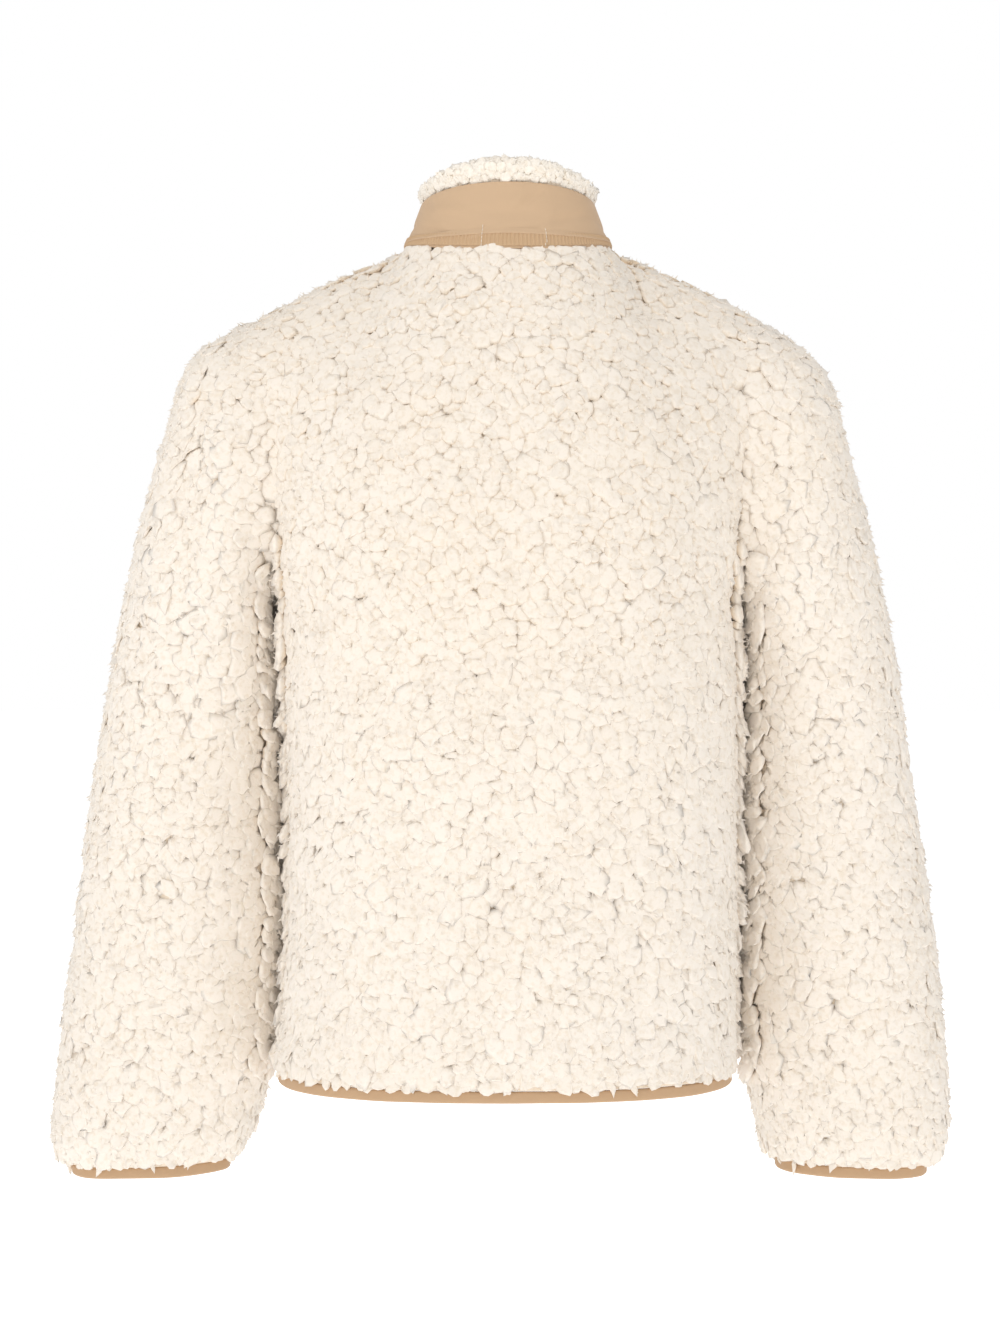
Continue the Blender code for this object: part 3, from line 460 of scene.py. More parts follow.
# %% [markdown]
# ## From coarse panels to smooth cloth
# The grids are too coarse to look at closely. A Catmull-Rom curve passes through its points,
# so refining with it keeps every panel on its solid, which a subdivision surface would not do.
# The curve is broken where the pattern has a corner: at the underarm, the neck and the seams.

# %% Refine every panel
TIMES = 3


def smooth_run(points, times):
    """The run with times steps for each old one, on a curve through all the points."""
    before = 3 * points[0] - 3 * points[1] + points[2]
    after = 3 * points[-1] - 3 * points[-2] + points[-3]
    padded = np.concatenate([[before], points, [after]])
    p0, p1, p2, p3 = padded[:-3], padded[1:-2], padded[2:-1], padded[3:]
    steps = [0.5 * (2 * p1 + (p2 - p0) * share + (2 * p0 - 5 * p1 + 4 * p2 - p3) * share**2
                    + (3 * p1 - p0 - 3 * p2 + p3) * share**3) for share in np.arange(times) / times]
    fine = np.stack(steps, axis=1).reshape(-1, *points.shape[1:])
    return np.concatenate([fine, points[-1:]])


def refined(grid, axis=0, breaks=(), times=TIMES, closed=False):
    """A grid with times steps for each old one along an axis, with corners at the breaks."""
    grid = np.moveaxis(grid, axis, 0)
    if closed:
        grid = np.concatenate([grid, grid[:1]])
    stops = [0, *breaks, len(grid) - 1]
    runs = [smooth_run(grid[first:last + 1], times) for first, last in zip(stops, stops[1:])]
    fine = np.concatenate([run[:-1] for run in runs] + ([] if closed else [runs[-1][-1:]]))
    return np.moveaxis(fine, 0, axis)


def refined_twice(grid, up, across):
    """A grid refined up and across, without corners."""
    return refined(refined(grid, 0, (), up), 1, (), across)


UNDERARM_ROW = len(TORSO) - 1
CORNERS = {  # panel: (rows, columns) at which its pattern has a corner
    "back": ([UNDERARM_ROW], [NECK_COLUMNS, 3 * NECK_COLUMNS]),
    "front_left": ([UNDERARM_ROW], [NECK_COLUMNS]),
    "front_right": ([UNDERARM_ROW], [BODY_COLUMNS - NECK_COLUMNS]),
}
for name in SLEEVES:
    CORNERS[name] = ([], [YOKE_ROWS])

surfaces, ways = {}, {}
for name, (row_breaks, column_breaks) in CORNERS.items():
    for coarse_set, fine_set in ((coarse, surfaces), (coarse_ways, ways)):
        rows_done = refined(coarse_set[name], 0, row_breaks)
        fine_set[name] = refined(rows_done, 1, column_breaks, closed=name in SLEEVES)
    print(name, "refined to", surfaces[name].shape[:2])

# %% [markdown]
# Small creases come on top of the broad folds. They are listed one by one, each with its own
# length, slant and depth, because evenly spread ones look like corduroy. They fade out before
# the seams, so that neighbouring panels still meet.

# %% Small creases, one by one
# columns: across, height, reach across it, half its length, slant in degrees, depth
BACK_CREASES = (
    (0.120, -0.120, 0.010, 0.055, -52.0, -0.0022),
    (-0.115, -0.135, 0.011, 0.060, 48.0, -0.0024),
    (0.060, -0.075, 0.012, 0.045, -14.0, -0.0014),
    (-0.050, -0.165, 0.013, 0.070, 6.0, -0.0012),
    (0.085, -0.265, 0.010, 0.060, 30.0, -0.0020),
    (-0.105, -0.285, 0.011, 0.055, -24.0, -0.0022),
    (0.005, -0.330, 0.008, 0.100, -3.0, -0.0016),
    (-0.060, -0.375, 0.012, 0.060, 16.0, -0.0014),
    (0.090, -0.430, 0.011, 0.070, -18.0, -0.0018),
    (0.008, -0.500, 0.006, 0.110, 89.0, -0.0020),
    (-0.070, -0.520, 0.012, 0.050, 38.0, -0.0016),
    (0.060, -0.560, 0.013, 0.055, -46.0, -0.0016),
    (-0.130, -0.590, 0.010, 0.045, 70.0, -0.0020),
    (0.135, -0.610, 0.011, 0.040, -64.0, -0.0018),
)
FRONT_CREASES = (
    (0.095, -0.125, 0.011, 0.055, -48.0, -0.0022),
    (0.060, -0.205, 0.012, 0.050, 20.0, -0.0016),
    (0.110, -0.300, 0.010, 0.055, 34.0, -0.0020),
    (0.070, -0.350, 0.011, 0.060, -10.0, -0.0016),
    (0.120, -0.455, 0.012, 0.050, -28.0, -0.0018),
    (0.060, -0.500, 0.012, 0.060, 62.0, -0.0016),
    (0.130, -0.600, 0.010, 0.045, 76.0, -0.0020),
)
SLEEVE_GIRTH = 0.45
SLEEVE_CREASES = (  # across is the way round from the outer edge by the back
    (0.045, -0.165, 0.010, 0.050, 24.0, -0.0024),
    (0.095, -0.215, 0.010, 0.055, -36.0, -0.0028),
    (0.190, -0.330, 0.009, 0.050, 14.0, -0.0030),
    (0.120, -0.345, 0.011, 0.055, -12.0, -0.0022),
    (0.060, -0.400, 0.012, 0.060, 10.0, -0.0018),
    (0.175, -0.455, 0.010, 0.055, -20.0, -0.0028),
    (0.095, -0.500, 0.012, 0.050, 18.0, -0.0020),
    (0.030, -0.560, 0.013, 0.050, -14.0, -0.0018),
    (0.165, -0.590, 0.010, 0.050, 22.0, -0.0026),
    (0.100, -0.650, 0.010, 0.045, -16.0, -0.0022),
    (0.270, -0.300, 0.010, 0.050, -22.0, -0.0026),
    (0.330, -0.390, 0.011, 0.055, 16.0, -0.0022),
    (0.280, -0.470, 0.010, 0.050, 24.0, -0.0024),
    (0.350, -0.550, 0.012, 0.050, -18.0, -0.0020),
    (0.290, -0.630, 0.010, 0.045, 20.0, -0.0022),
)
CREASE_BOW = 1.2  # how much a crease curves


def creased(surface, way, across, up, creases, girth=None):
    """The surface with small creases. Given a girth, it closes up on itself across."""
    rows, columns = surface.shape[:2]
    v = np.linspace(0.0, 1.0, rows)[:, None]
    fade = np.minimum(1.0, 8 * v) * np.minimum(1.0, 8 * (1 - v)) * np.ones((rows, columns))
    if not girth:
        u = np.linspace(0.0, 1.0, columns)[None, :]
        fade *= np.minimum(1.0, 8 * u) * np.minimum(1.0, 8 * (1 - u))
    depth_map = np.zeros((rows, columns))
    for at, height, reach, length, slant, depth in creases:
        aside = across - at
        if girth:
            aside = (aside + girth / 2) % girth - girth / 2
        along, away = turned(aside, up - height, slant)
        away = away + CREASE_BOW * along**2
        depth_map += depth * np.exp(-((away / reach) ** 2) - (along / length) ** 2)
    return surface + way * (depth_map * fade)[..., None]


def shifted(creases, aside=0.0, higher=0.0):
    """The creases moved a little, so that left and right don't mirror each other."""
    return [(at + aside, up + higher, *rest) for at, up, *rest in creases]


for name, side, creases in (("back", 1, BACK_CREASES), ("front_left", 1, FRONT_CREASES),
                            ("front_right", -1, shifted(FRONT_CREASES, 0.012))):
    grid = surfaces[name]
    surfaces[name] = creased(grid, ways[name], side * grid[..., 0], grid[..., 2], creases)
for name, creases in zip(SLEEVES, (SLEEVE_CREASES, shifted(SLEEVE_CREASES, 0.03, 0.022))):
    grid = surfaces[name]
    round_share = np.arange(grid.shape[1]) / grid.shape[1]
    if name == "sleeve_left":  # this sleeve's columns run round by the front first
        round_share = (1 - round_share) % 1.0
    surfaces[name] = creased(grid, ways[name], round_share[None, :] * SLEEVE_GIRTH,
                             grid[..., 2].mean(axis=1, keepdims=True), creases, SLEEVE_GIRTH)
print("creases placed:", len(BACK_CREASES) + 2 * len(FRONT_CREASES) + 2 * len(SLEEVE_CREASES))

# %% [markdown]
# ## Shared finishes
# Materials come before pieces, so that each piece gets its finish as soon as it is made. An
# effect that several materials use is a node group with its own inputs, like a function. A
# group puts out colours, masks and heights only. The shader itself stays in the material.

# %% Helpers for node groups and materials
def new_group(title, inputs):
    """A node group with named inputs, which puts out a colour, a roughness and a height."""
    tree = bpy.data.node_groups.new(title, "ShaderNodeTree")
    for name, kind, default in inputs:
        socket = tree.interface.new_socket(name, in_out="INPUT", socket_type="NodeSocket" + kind)
        socket.default_value = default
    for name, kind in (("Color", "Color"), ("Roughness", "Float"), ("Height", "Float")):
        tree.interface.new_socket(name, in_out="OUTPUT", socket_type="NodeSocket" + kind)
    return tree, tree.nodes.new("NodeGroupInput"), tree.nodes.new("NodeGroupOutput")


def feed(tree, socket, value):
    """Sets a socket to a number or a colour, or links another node's output to it."""
    if isinstance(value, (int, float)):
        socket.default_value = value
    elif isinstance(value, tuple):
        socket.default_value = (*value, 1.0)
    else:
        tree.links.new(value, socket)


def maths(tree, operation, *values):
    made = tree.nodes.new("ShaderNodeMath")
    made.operation = operation
    for socket, value in zip(made.inputs, values):
        feed(tree, socket, value)
    return made.outputs[0]


def mixed(tree, factor, first, second, blend="MIX"):
    made = tree.nodes.new("ShaderNodeMix")
    made.data_type = "RGBA"
    made.blend_type = blend
    sockets = {socket.identifier: socket for socket in made.inputs}
    for name, value in (("Factor_Float", factor), ("A_Color", first), ("B_Color", second)):
        feed(tree, sockets[name], value)
    return next(socket for socket in made.outputs if socket.identifier == "Result_Color")


def stretched(tree, value, low, high, kind="LINEAR"):
    """A value with low and high moved to 0 and 1."""
    made = tree.nodes.new("ShaderNodeMapRange")
    made.interpolation_type = kind
    for name, number in (("Value", value), ("From Min", low), ("From Max", high)):
        feed(tree, made.inputs[name], number)
    return made.outputs["Result"]


def object_coords(tree):
    return tree.nodes.new("ShaderNodeTexCoord").outputs["Object"]


def noise(tree, vector, scale, detail=2.0, roughness=0.5):
    made = tree.nodes.new("ShaderNodeTexNoise")
    for name, value in (("Vector", vector), ("Scale", scale), ("Detail", detail), ("Roughness", roughness)):
        feed(tree, made.inputs[name], value)
    return made.outputs["Fac"]


def bumped(tree, shader, height, strength, distance):
    """Gives the shader the small relief of a height."""
    made = tree.nodes.new("ShaderNodeBump")
    for name, value in (("Strength", strength), ("Distance", distance), ("Height", height)):
        feed(tree, made.inputs[name], value)
    tree.links.new(made.outputs["Normal"], shader.inputs["Normal"])


def blank(title):
    """A new material, with its tree and its shader."""
    made = bpy.data.materials.new(title)
    made.use_nodes = True
    return made, made.node_tree, made.node_tree.nodes["Principled BSDF"]


print("helpers ready")

# %% [markdown]
# ** Curly pile.** Each lock is a bundle of crimped fibres, pale at the tip. Towards the root its
# colour is darker and warmer: painted shade for the crevices between the locks. The large form of a
# lock is real geometry. The group adds what is smaller: the crimp of the fibres, darker flecks that
# are painted shade in the hollows of the curls, and a slow random change of tone over the jacket. Two
# sizes of noise make crimp more cheaply than hair would.

# %% Node group: curly pile
DRIFT_SCALE, CURL_SCALE = 9.0, 260.0  # of the slow change of tone, and of the curls
ROOT_SHADE_ENDS, TIP_COLOUR_FROM = 0.40, 0.98  # the tip values below which the colour is all painted root shade, and above which it is all the tip's colour
WARM_TONE_AND_SHADE, CURL_HOLLOW_SHADE = (0.955, 0.925, 0.875), (0.93, 0.90, 0.85)  # what the warmer tone and painted shade of a lock, and the painted shade in the curls' hollows, let through


def build_pile_group():
    tree, given, out = new_group(
        "Curly pile",
        [("Root Shade Color", "Color", (0.60, 0.47, 0.32, 1)), ("Tip Color", "Color", (0.92, 0.86, 0.77, 1)),
         ("Tip", "Float", 1.0), ("Lock", "Float", 0.5), ("Crimp Scale", "Float", 700.0)])
    given, coords = given.outputs, object_coords(tree)
    drift = noise(tree, coords, DRIFT_SCALE, 3.0)
    crimp = noise(tree, coords, given["Crimp Scale"], 3.0, 0.6)
    curls = noise(tree, coords, CURL_SCALE)
    # Low tip values give the root's colour, painted shade for the crevices between the locks
    tip_share = stretched(tree, given["Tip"], ROOT_SHADE_ENDS, TIP_COLOUR_FROM, "SMOOTHSTEP")
    colour = mixed(tree, tip_share, given["Root Shade Color"], given["Tip Color"])
    # A lock's value (random tone, on the body also painted shade) and a slow random drift warm and darken the
    # colour
    tone = maths(tree, "ADD", maths(tree, "MULTIPLY", given["Lock"], 0.55),
                 maths(tree, "MULTIPLY", drift, 0.45))
    shade = mixed(tree, tone, colour, mixed(tree, 1.0, colour, WARM_TONE_AND_SHADE, "MULTIPLY"))
    # Darker where the curls' relief is low: painted shade in their hollows
    hollow_shade_mask = stretched(tree, curls, 0.50, 0.30)
    feed(tree, out.inputs["Color"], mixed(tree, hollow_shade_mask, shade, mixed(tree, 1.0, shade, CURL_HOLLOW_SHADE, "MULTIPLY")))
    feed(tree, out.inputs["Height"], maths(tree, "ADD", maths(tree, "MULTIPLY", curls, 0.62),
                                           maths(tree, "MULTIPLY", crimp, 0.38)))
    feed(tree, out.inputs["Roughness"], maths(tree, "MULTIPLY_ADD", crimp, -0.16, 0.98))
    return tree


pile_group = build_pile_group()
print("group:", pile_group.name, "with", len(pile_group.nodes), "nodes")

# %% [markdown]
# ** Woven cloth.** The collar, the bindings and the zip tapes are plain-woven. Two crossed wave
# textures, one for the warp and one for the weft, give the over-and-under of the threads, and
# a little noise makes the yarn uneven. The gaps between the threads are painted darker, as shade.
# Coarse cloth and fine tape differ only in the inputs.

# %% Node group: woven cloth
WEAR_SCALE, SLUB_SCALE = 60.0, 240.0  # of the worn patches, and of the yarn's thick places
WORN, THREAD_GAP_SHADE = (1.07, 1.07, 1.08), (0.90, 0.88, 0.86)  # how much paler worn cloth gets, and how much darker the painted shade between threads makes it


def build_weave_group():
    tree, given, out = new_group(
        "Woven cloth",
        [("Color", "Color", (0.6, 0.45, 0.3, 1)), ("Thread Scale", "Float", 620.0),
         ("Unevenness", "Float", 0.5), ("Wear", "Float", 0.5)])
    given, coords = given.outputs, object_coords(tree)
    threads = []
    for direction in ("X", "Z"):
        wave = tree.nodes.new("ShaderNodeTexWave")
        wave.bands_direction = direction
        for name, value in (("Vector", coords), ("Scale", given["Thread Scale"]), ("Distortion", 0.6),
                            ("Detail", 1.0), ("Detail Scale", 0.4)):
            feed(tree, wave.inputs[name], value)
        threads.append(wave.outputs["Fac"])
    weave = maths(tree, "MULTIPLY", *threads)
    slub = noise(tree, coords, SLUB_SCALE, 3.0, 0.6)
    wear = maths(tree, "MULTIPLY", noise(tree, coords, WEAR_SCALE), given["Wear"])
    pale, dark = (mixed(tree, 1.0, given["Color"], tint, "MULTIPLY") for tint in (WORN, THREAD_GAP_SHADE))
    faded = mixed(tree, wear, given["Color"], pale)
    # Darker where the weave is low, between the threads: painted shade
    thread_gap_shade_mask = maths(tree, "MULTIPLY", maths(tree, "SUBTRACT", 1.0, weave), 0.55)
    feed(tree, out.inputs["Color"], mixed(tree, thread_gap_shade_mask, faded, dark))
    feed(tree, out.inputs["Height"], maths(tree, "MULTIPLY_ADD", slub, given["Unevenness"], weave))
    feed(tree, out.inputs["Roughness"], maths(tree, "MULTIPLY_ADD", slub, 0.2, 0.72))
    return tree


weave_group = build_weave_group()
print("group:", weave_group.name, "with", len(weave_group.nodes), "nodes")

# %% [markdown]
# A material places a group and gives it its own values. Numbers that are the same all over,
# such as sheen and specular level, are set on the shader's own sockets.

# %% Materials from the groups
SOFT = {"Sheen Weight": 0.35, "Sheen Roughness": 0.7, "Specular IOR Level": 0.15}
MATTED_DOWN = {"Sheen Weight": 0.1, "Specular IOR Level": 0.1}
WOVEN = {"Sheen Weight": 0.10, "Sheen Roughness": 0.5, "Specular IOR Level": 0.25}


def new_material(title, group, values, bump, uniform, attributes=()):
    """A material with a group's values, the relief's strength and depth, and fixed numbers."""
    made, tree, shader = blank(title)
    placed = tree.nodes.new("ShaderNodeGroup")
    placed.node_tree = group
    for key, value in values.items():
        feed(tree, placed.inputs[key], value)
    for attribute in attributes:
        reader = tree.nodes.new("ShaderNodeAttribute")
        reader.attribute_name = attribute.lower()
        feed(tree, placed.inputs[attribute], reader.outputs["Fac"])
    feed(tree, shader.inputs["Base Color"], placed.outputs["Color"])
    feed(tree, shader.inputs["Roughness"], placed.outputs["Roughness"])
    bumped(tree, shader, placed.outputs["Height"], *bump)
    for key, value in uniform.items():
        feed(tree, shader.inputs[key], value)
    made.diffuse_color = (*next(v for v in values.values() if isinstance(v, tuple)), 1.0)
    return made


def woven(title, colour, threads, unevenness, wear, strength, depth):
    values = {"Color": colour, "Thread Scale": threads, "Unevenness": unevenness, "Wear": wear}
    return new_material(title, weave_group, values, (strength, depth), WOVEN)


pile_finish = new_material(
    "cream_pile", pile_group,
    {"Tip Color": (0.905, 0.832, 0.746), "Root Shade Color": (0.86, 0.71, 0.54), "Crimp Scale": 900.0},
    (0.55, 0.0011), SOFT, ("Tip", "Lock"))
facing_finish = new_material(
    "fine_cream_pile", pile_group,
    {"Tip Color": (0.935, 0.872, 0.785), "Root Shade Color": (0.89, 0.81, 0.70), "Crimp Scale": 1300.0},
    (0.50, 0.0009), SOFT, ("Tip", "Lock"))
# The backing's colour lies between the root and tip colours: painted shade between the locks
backing_finish = new_material(
    "backing_with_painted_shade", pile_group,
    {"Tip Color": (0.92, 0.83, 0.72), "Root Shade Color": (0.86, 0.74, 0.59), "Tip": 0.7, "Lock": 0.5,
     "Crimp Scale": 1100.0}, (0.6, 0.0010), MATTED_DOWN)
knit_finish = woven("knitted_inside", (0.86, 0.80, 0.70), 330.0, 0.9, 0.6, 0.5, 0.0006)
cloth_finish = woven("tan_poplin", (0.610, 0.428, 0.272), 760.0, 0.5, 0.8, 0.25, 0.00025)
binding_finish = woven("tan_binding", (0.560, 0.372, 0.222), 560.0, 0.7, 0.9, 0.35, 0.0003)
gathered_finish = woven("gathered_tape", (0.580, 0.395, 0.235), 480.0, 0.8, 0.6, 0.4, 0.0003)
thread_finish = woven("pale_thread", (0.88, 0.82, 0.72), 1500.0, 0.5, 0.2, 0.3, 0.0001)
tape_finish = woven("zip_tape_twill", (0.585, 0.415, 0.262), 900.0, 0.5, 0.5, 0.35, 0.00025)
print("materials:", len(bpy.data.materials))

# %% [markdown]
# ## The backing of the pile
# Curly pile is knitted onto a backing. Its outer side is coloured darker beige, painted shade that
# shows between the locks, and its inner side shows plainly. It is a thin shell under the pile, on the
# form of its solid panel. Making the shell from the panel's own grid, rather than with a Solidify
# modifier, keeps its mitred seams.

# %% Thin shells from grids
BACKING_DEPTHS = (0.0031, PILE_WALL)
SEAM_GAP = 0.0003
SHARP = math.radians(55)  # edges of a shell that bend more than this stay crisp


def drawn_in(surface, closed=False):
    """The surface with its free edges half a seam gap inside the seam."""
    moved = surface.copy()
    views = [moved] if closed else [moved, np.swapaxes(moved, 0, 1)]
    for edge, inner in ((0, 1), (-1, -2)):
        for view in views:
            step = view[inner] - view[edge]
            length = np.linalg.norm(step, axis=1, keepdims=True)
            view[edge] += step * (SEAM_GAP / 2) / np.maximum(length, 1e-6)
    return moved


def quads(*corners):
    """Faces from four equal blocks of point numbers, one for each corner."""
    return np.stack(corners, axis=-1).reshape(-1, 4)


def shell_faces(rows, columns, closed):
    """Quads of the outer side, of the inner side and of the rim, all facing out."""
    size = rows * columns
    index = np.arange(size).reshape(rows, columns)
    if closed:
        index = np.concatenate([index, index[:, :1]], axis=1)
    outer = quads(index[:-1, :-1], index[:-1, 1:], index[1:, 1:], index[1:, :-1])
    runs = [(index[0, 1:], index[0, :-1]), (index[-1, :-1], index[-1, 1:])]
    if not closed:
        runs += [(index[:-1, 0], index[1:, 0]), (index[1:, -1], index[:-1, -1])]
    rims = [quads(first, second, second + size, first + size) for first, second in runs]
    return outer, outer[:, ::-1] + size, np.concatenate(rims)


def put(name, points, faces, finishes, face_finish=None):
    """A mesh object in the scene, with its finishes and, if given, the finish of each face."""
    data = bpy.data.meshes.new(name)
    faces = np.asarray(faces, np.int32)
    count, size = faces.shape
    data.vertices.add(len(points))
    data.vertices.foreach_set("co", np.asarray(points, np.float32).ravel())
    data.loops.add(count * size)
    data.loops.foreach_set("vertex_index", faces.ravel())
    data.polygons.add(count)
    data.polygons.foreach_set("loop_start", np.arange(0, count * size, size, dtype=np.int32))
    for finish in finishes:
        data.materials.append(finish)
    if face_finish is not None:
        data.polygons.foreach_set("material_index", np.asarray(face_finish, np.int32))
    data.update(calc_edges=True)
    data.shade_smooth()
    obj = bpy.data.objects.new(name, data)
    bpy.context.scene.collection.objects.link(obj)
    return obj


def stands_for(piece, node_name):
    """The piece moves with the jacket's body and is seen in place of a solid."""
    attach(piece, "jacket")
    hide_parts(node_name)


def shell(name, outer, inner, outside, inside=None, closed=False):
    """A thin closed piece of cloth between two grids, with a finish for each side."""
    outer, inner = np.array(outer), np.array(inner)
    faces = shell_faces(*outer.shape[:2], closed)
    finish = np.repeat([0, 1, 0], [len(part) for part in faces])
    points = np.concatenate([outer.reshape(-1, 3), inner.reshape(-1, 3)])
    made = put(name, points, np.concatenate(faces), [outside, inside or outside], finish)
    made.data.set_sharp_from_angle(angle=SHARP)
    return made


backings = {}
for name in ("back", "front_left", "front_right", *SLEEVES):
    closed = name in SLEEVES
    sides = [drawn_in(surfaces[name] - depth * ways[name], closed) for depth in BACKING_DEPTHS]
    made = shell(name + "_backing", *sides, backing_finish, knit_finish, closed)
    stands_for(made, name)
    backings[name] = made
    print(made.name, len(made.data.polygons), "faces")

# %% [markdown]
# ## Where the locks grow
# The pile forms separate locks about 7 mm across, packed like pebbles. Their roots are
# scattered with dart throwing: random places are taken one by one, and each that is kept rules
# out those too close to it. All panels are scattered together, so no line of equal spacing
# betrays a seam. Every lock then knows its neighbours, and grows until it meets them.

# %% Scatter the roots
LOCK_SPACING = 0.0072
CLOSER_IN_HEIGHT = np.array([1.0, 1.0, 1.28])  # the locks are wider than they are tall
ROOT_DEPTH, MIDDLE_DEPTH = 0.0060, 0.0028
PATCHES = (0.031, 0.047, 0.082)  # how wide the patches of larger and smaller locks are
LOCK_SIZES, PATCH_SIZES = (0.68, 1.42), (0.86, 1.16)  # how far single locks and patches differ
CANDIDATES = 130000  # random places on each square metre, of which few are kept
SAME_SIDE = 0.2  # two ways out are on the same side of the cloth if their product is above this


def patchy(points, low, high):
    """A value that drifts over the jacket, in patches a few centimetres wide."""
    waves = np.zeros(len(points))
    for length in PATCHES:
        way = rng.normal(0, 1, 3)
        way /= np.linalg.norm(way)
        waves += np.sin(points @ way * 2 * np.pi / length + rng.uniform(0, 2 * np.pi))
    return low + (high - low) * (0.5 + 0.5 * np.clip(waves / 2.2, -1, 1))


def sampled(grid, closed, rows_at, columns_at):
    """Values of a grid at places between its rows and columns."""
    if closed:
        grid = np.concatenate([grid, grid[:, :1]], axis=1)
    i, j = rows_at.astype(int), columns_at.astype(int)
    s, t = (rows_at - i)[:, None], (columns_at - j)[:, None]
    low = grid[i, j] * (1 - t) + grid[i, j + 1] * t
    high = grid[i + 1, j] * (1 - t) + grid[i + 1, j + 1] * t
    return low * (1 - s) + high * s


def candidates(surface, way, closed, density):
    """Random places over a grid, as many per area everywhere, with their ways out."""
    middle = surface - MIDDLE_DEPTH * way
    if closed:
        middle = np.concatenate([middle, middle[:, :1]], axis=1)
    across = np.cross(middle[1:, 1:] - middle[:-1, :-1], middle[1:, :-1] - middle[:-1, 1:])
    areas = 0.5 * np.linalg.norm(across, axis=-1)
    count = int(areas.sum() * density)
    flat = rng.choice(areas.size, count, p=(areas / areas.sum()).ravel())
    rows_at = flat // areas.shape[1] + rng.random(count)
    columns_at = flat % areas.shape[1] + rng.random(count)
    return (*(sampled(grid, closed, rows_at, columns_at) for grid in (surface, way)), float(areas.sum()))


def tree_of(points):
    """A search tree, which finds the points near a place without looking at them all."""
    tree = KDTree(len(points))
    for index, point in enumerate(points):
        tree.insert(point, index)
    tree.balance()
    return tree


def numbers_near(tree, place, reach):
    return np.array([number for _, number, _ in tree.find_range(place, reach)])


def thinned(places, outs, spacing):
    """Keeps places at least their spacing apart, among those that face the same way."""
    tree = tree_of(places)
    free = np.ones(len(places), bool)
    kept = []
    for index in range(len(places)):
        if free[index]:
            kept.append(index)
            near = numbers_near(tree, places[index], spacing[index])
            free[near[outs[near] @ outs[index] > SAME_SIDE]] = False
    return np.array(kept)


PANELS = list(backings)
all_tops, all_outs, areas = zip(*(
    candidates(surfaces[name], ways[name], name in SLEEVES, CANDIDATES) for name in PANELS))
owner = np.repeat(np.arange(len(PANELS)), [len(places) for places in all_tops])
tops, outs = np.concatenate(all_tops), np.concatenate(all_outs)
order = rng.permutation(len(tops))
owner, tops, outs = owner[order], tops[order], outs[order]
spacing = LOCK_SPACING * rng.uniform(*LOCK_SIZES, len(tops)) * patchy(tops, *PATCH_SIZES)
units = outs / np.linalg.norm(outs, axis=1, keepdims=True)
kept = thinned((tops - MIDDLE_DEPTH * outs) * CLOSER_IN_HEIGHT, units, spacing)
owner, tops, outs, units = owner[kept], tops[kept], outs[kept], units[kept]

# %% [markdown]
# At a free edge there is no neighbour to stop a lock, so stand-in neighbours are set a little
# way outside the edge, at uneven distances. The pile then hangs unevenly over the bindings.

# %% Stand-in neighbours outside the free edges
# how far outside the edge they stand, at least and at most
BEYOND_CUFF, BEYOND_HEM, BEYOND_NECK, BEYOND_FRONT = (
    (-0.002, 0.002), (-0.001, 0.005), (0.006, 0.013), (0.000, 0.005))
# first and last column of the neck seam in each panel
NECK_SEAM = {"back": (NECK_COLUMNS, 3 * NECK_COLUMNS), "front_left": (0, NECK_COLUMNS),
             "front_right": (NECK_COLUMNS, BODY_COLUMNS)}


def beyond(edge, inner, way, low, high, apart=0.0045):
    """Places along and outside an edge, and the way out there."""
    out = edge - inner
    out /= np.maximum(np.linalg.norm(out, axis=1, keepdims=True), 1e-6)
    run = arc(edge)
    at = np.linspace(0, run[-1], int(run[-1] / apart) + 2)
    edge, out, way = (at_distance(at, run, part) for part in (edge, out, way))
    return edge + out * rng.uniform(low, high, (len(at), 1)) - MIDDLE_DEPTH * way, way


def edge_stand_ins():
    """Stand-ins for cuffs, hem, neck and front edges, in one list."""
    found = []
    for name in PANELS:
        grid, way = surfaces[name], ways[name]
        if name in SLEEVES:
            found.append(beyond(grid[-1], grid[-2], way[-1], *BEYOND_CUFF))
            continue
        found.append(beyond(grid[0], grid[1], way[0], *BEYOND_HEM))
        first, last = NECK_SEAM[name]
        neck = slice(first * TIMES, last * TIMES + 1)
        found.append(beyond(grid[-1, neck], grid[-2, neck], way[-1, neck], *BEYOND_NECK))
        if name != "back":
            column, inner = (0, 1) if name == "front_left" else (-1, -2)
            found.append(beyond(grid[:, column], grid[:, inner], way[:, column], *BEYOND_FRONT))
    return [np.concatenate(parts) for parts in zip(*found)]


guard_places, guard_ways = edge_stand_ins()
print("stand-in neighbours:", len(guard_places))

# %% [markdown]
# ## Which way the locks lie
# Gravity and wear comb the pile. High on the back the locks stand up and show as round pebbles.
# Lower down, and on the sleeves, they lie over each other like leaves, pointing down and away
# from a parting in the middle of the back.

# %% The flow of the pile
PARTING_X, PARTING_WIDTH, MOST_ASIDE = 0.008, 0.06, 0.75
SLEEVE_ASIDE, SLEEVE_LEAN = 0.45, 0.85  # how far to the side and how much a sleeve's locks lean
BODY_LEAN, LOW_LEAN, SIDE_LEAN = 0.16, 0.70, 0.35  # everywhere, more low down, more at the sides
WANDER, LEAN_SPREAD, LEAN_LIMITS = 0.45, 0.12, (0.05, 1.1)


def smooth(value, low, high):
    """0 below low, 1 above high, and a soft step between."""
    share = np.clip((value - low) / (high - low), 0.0, 1.0)
    return share * share * (3 - 2 * share)


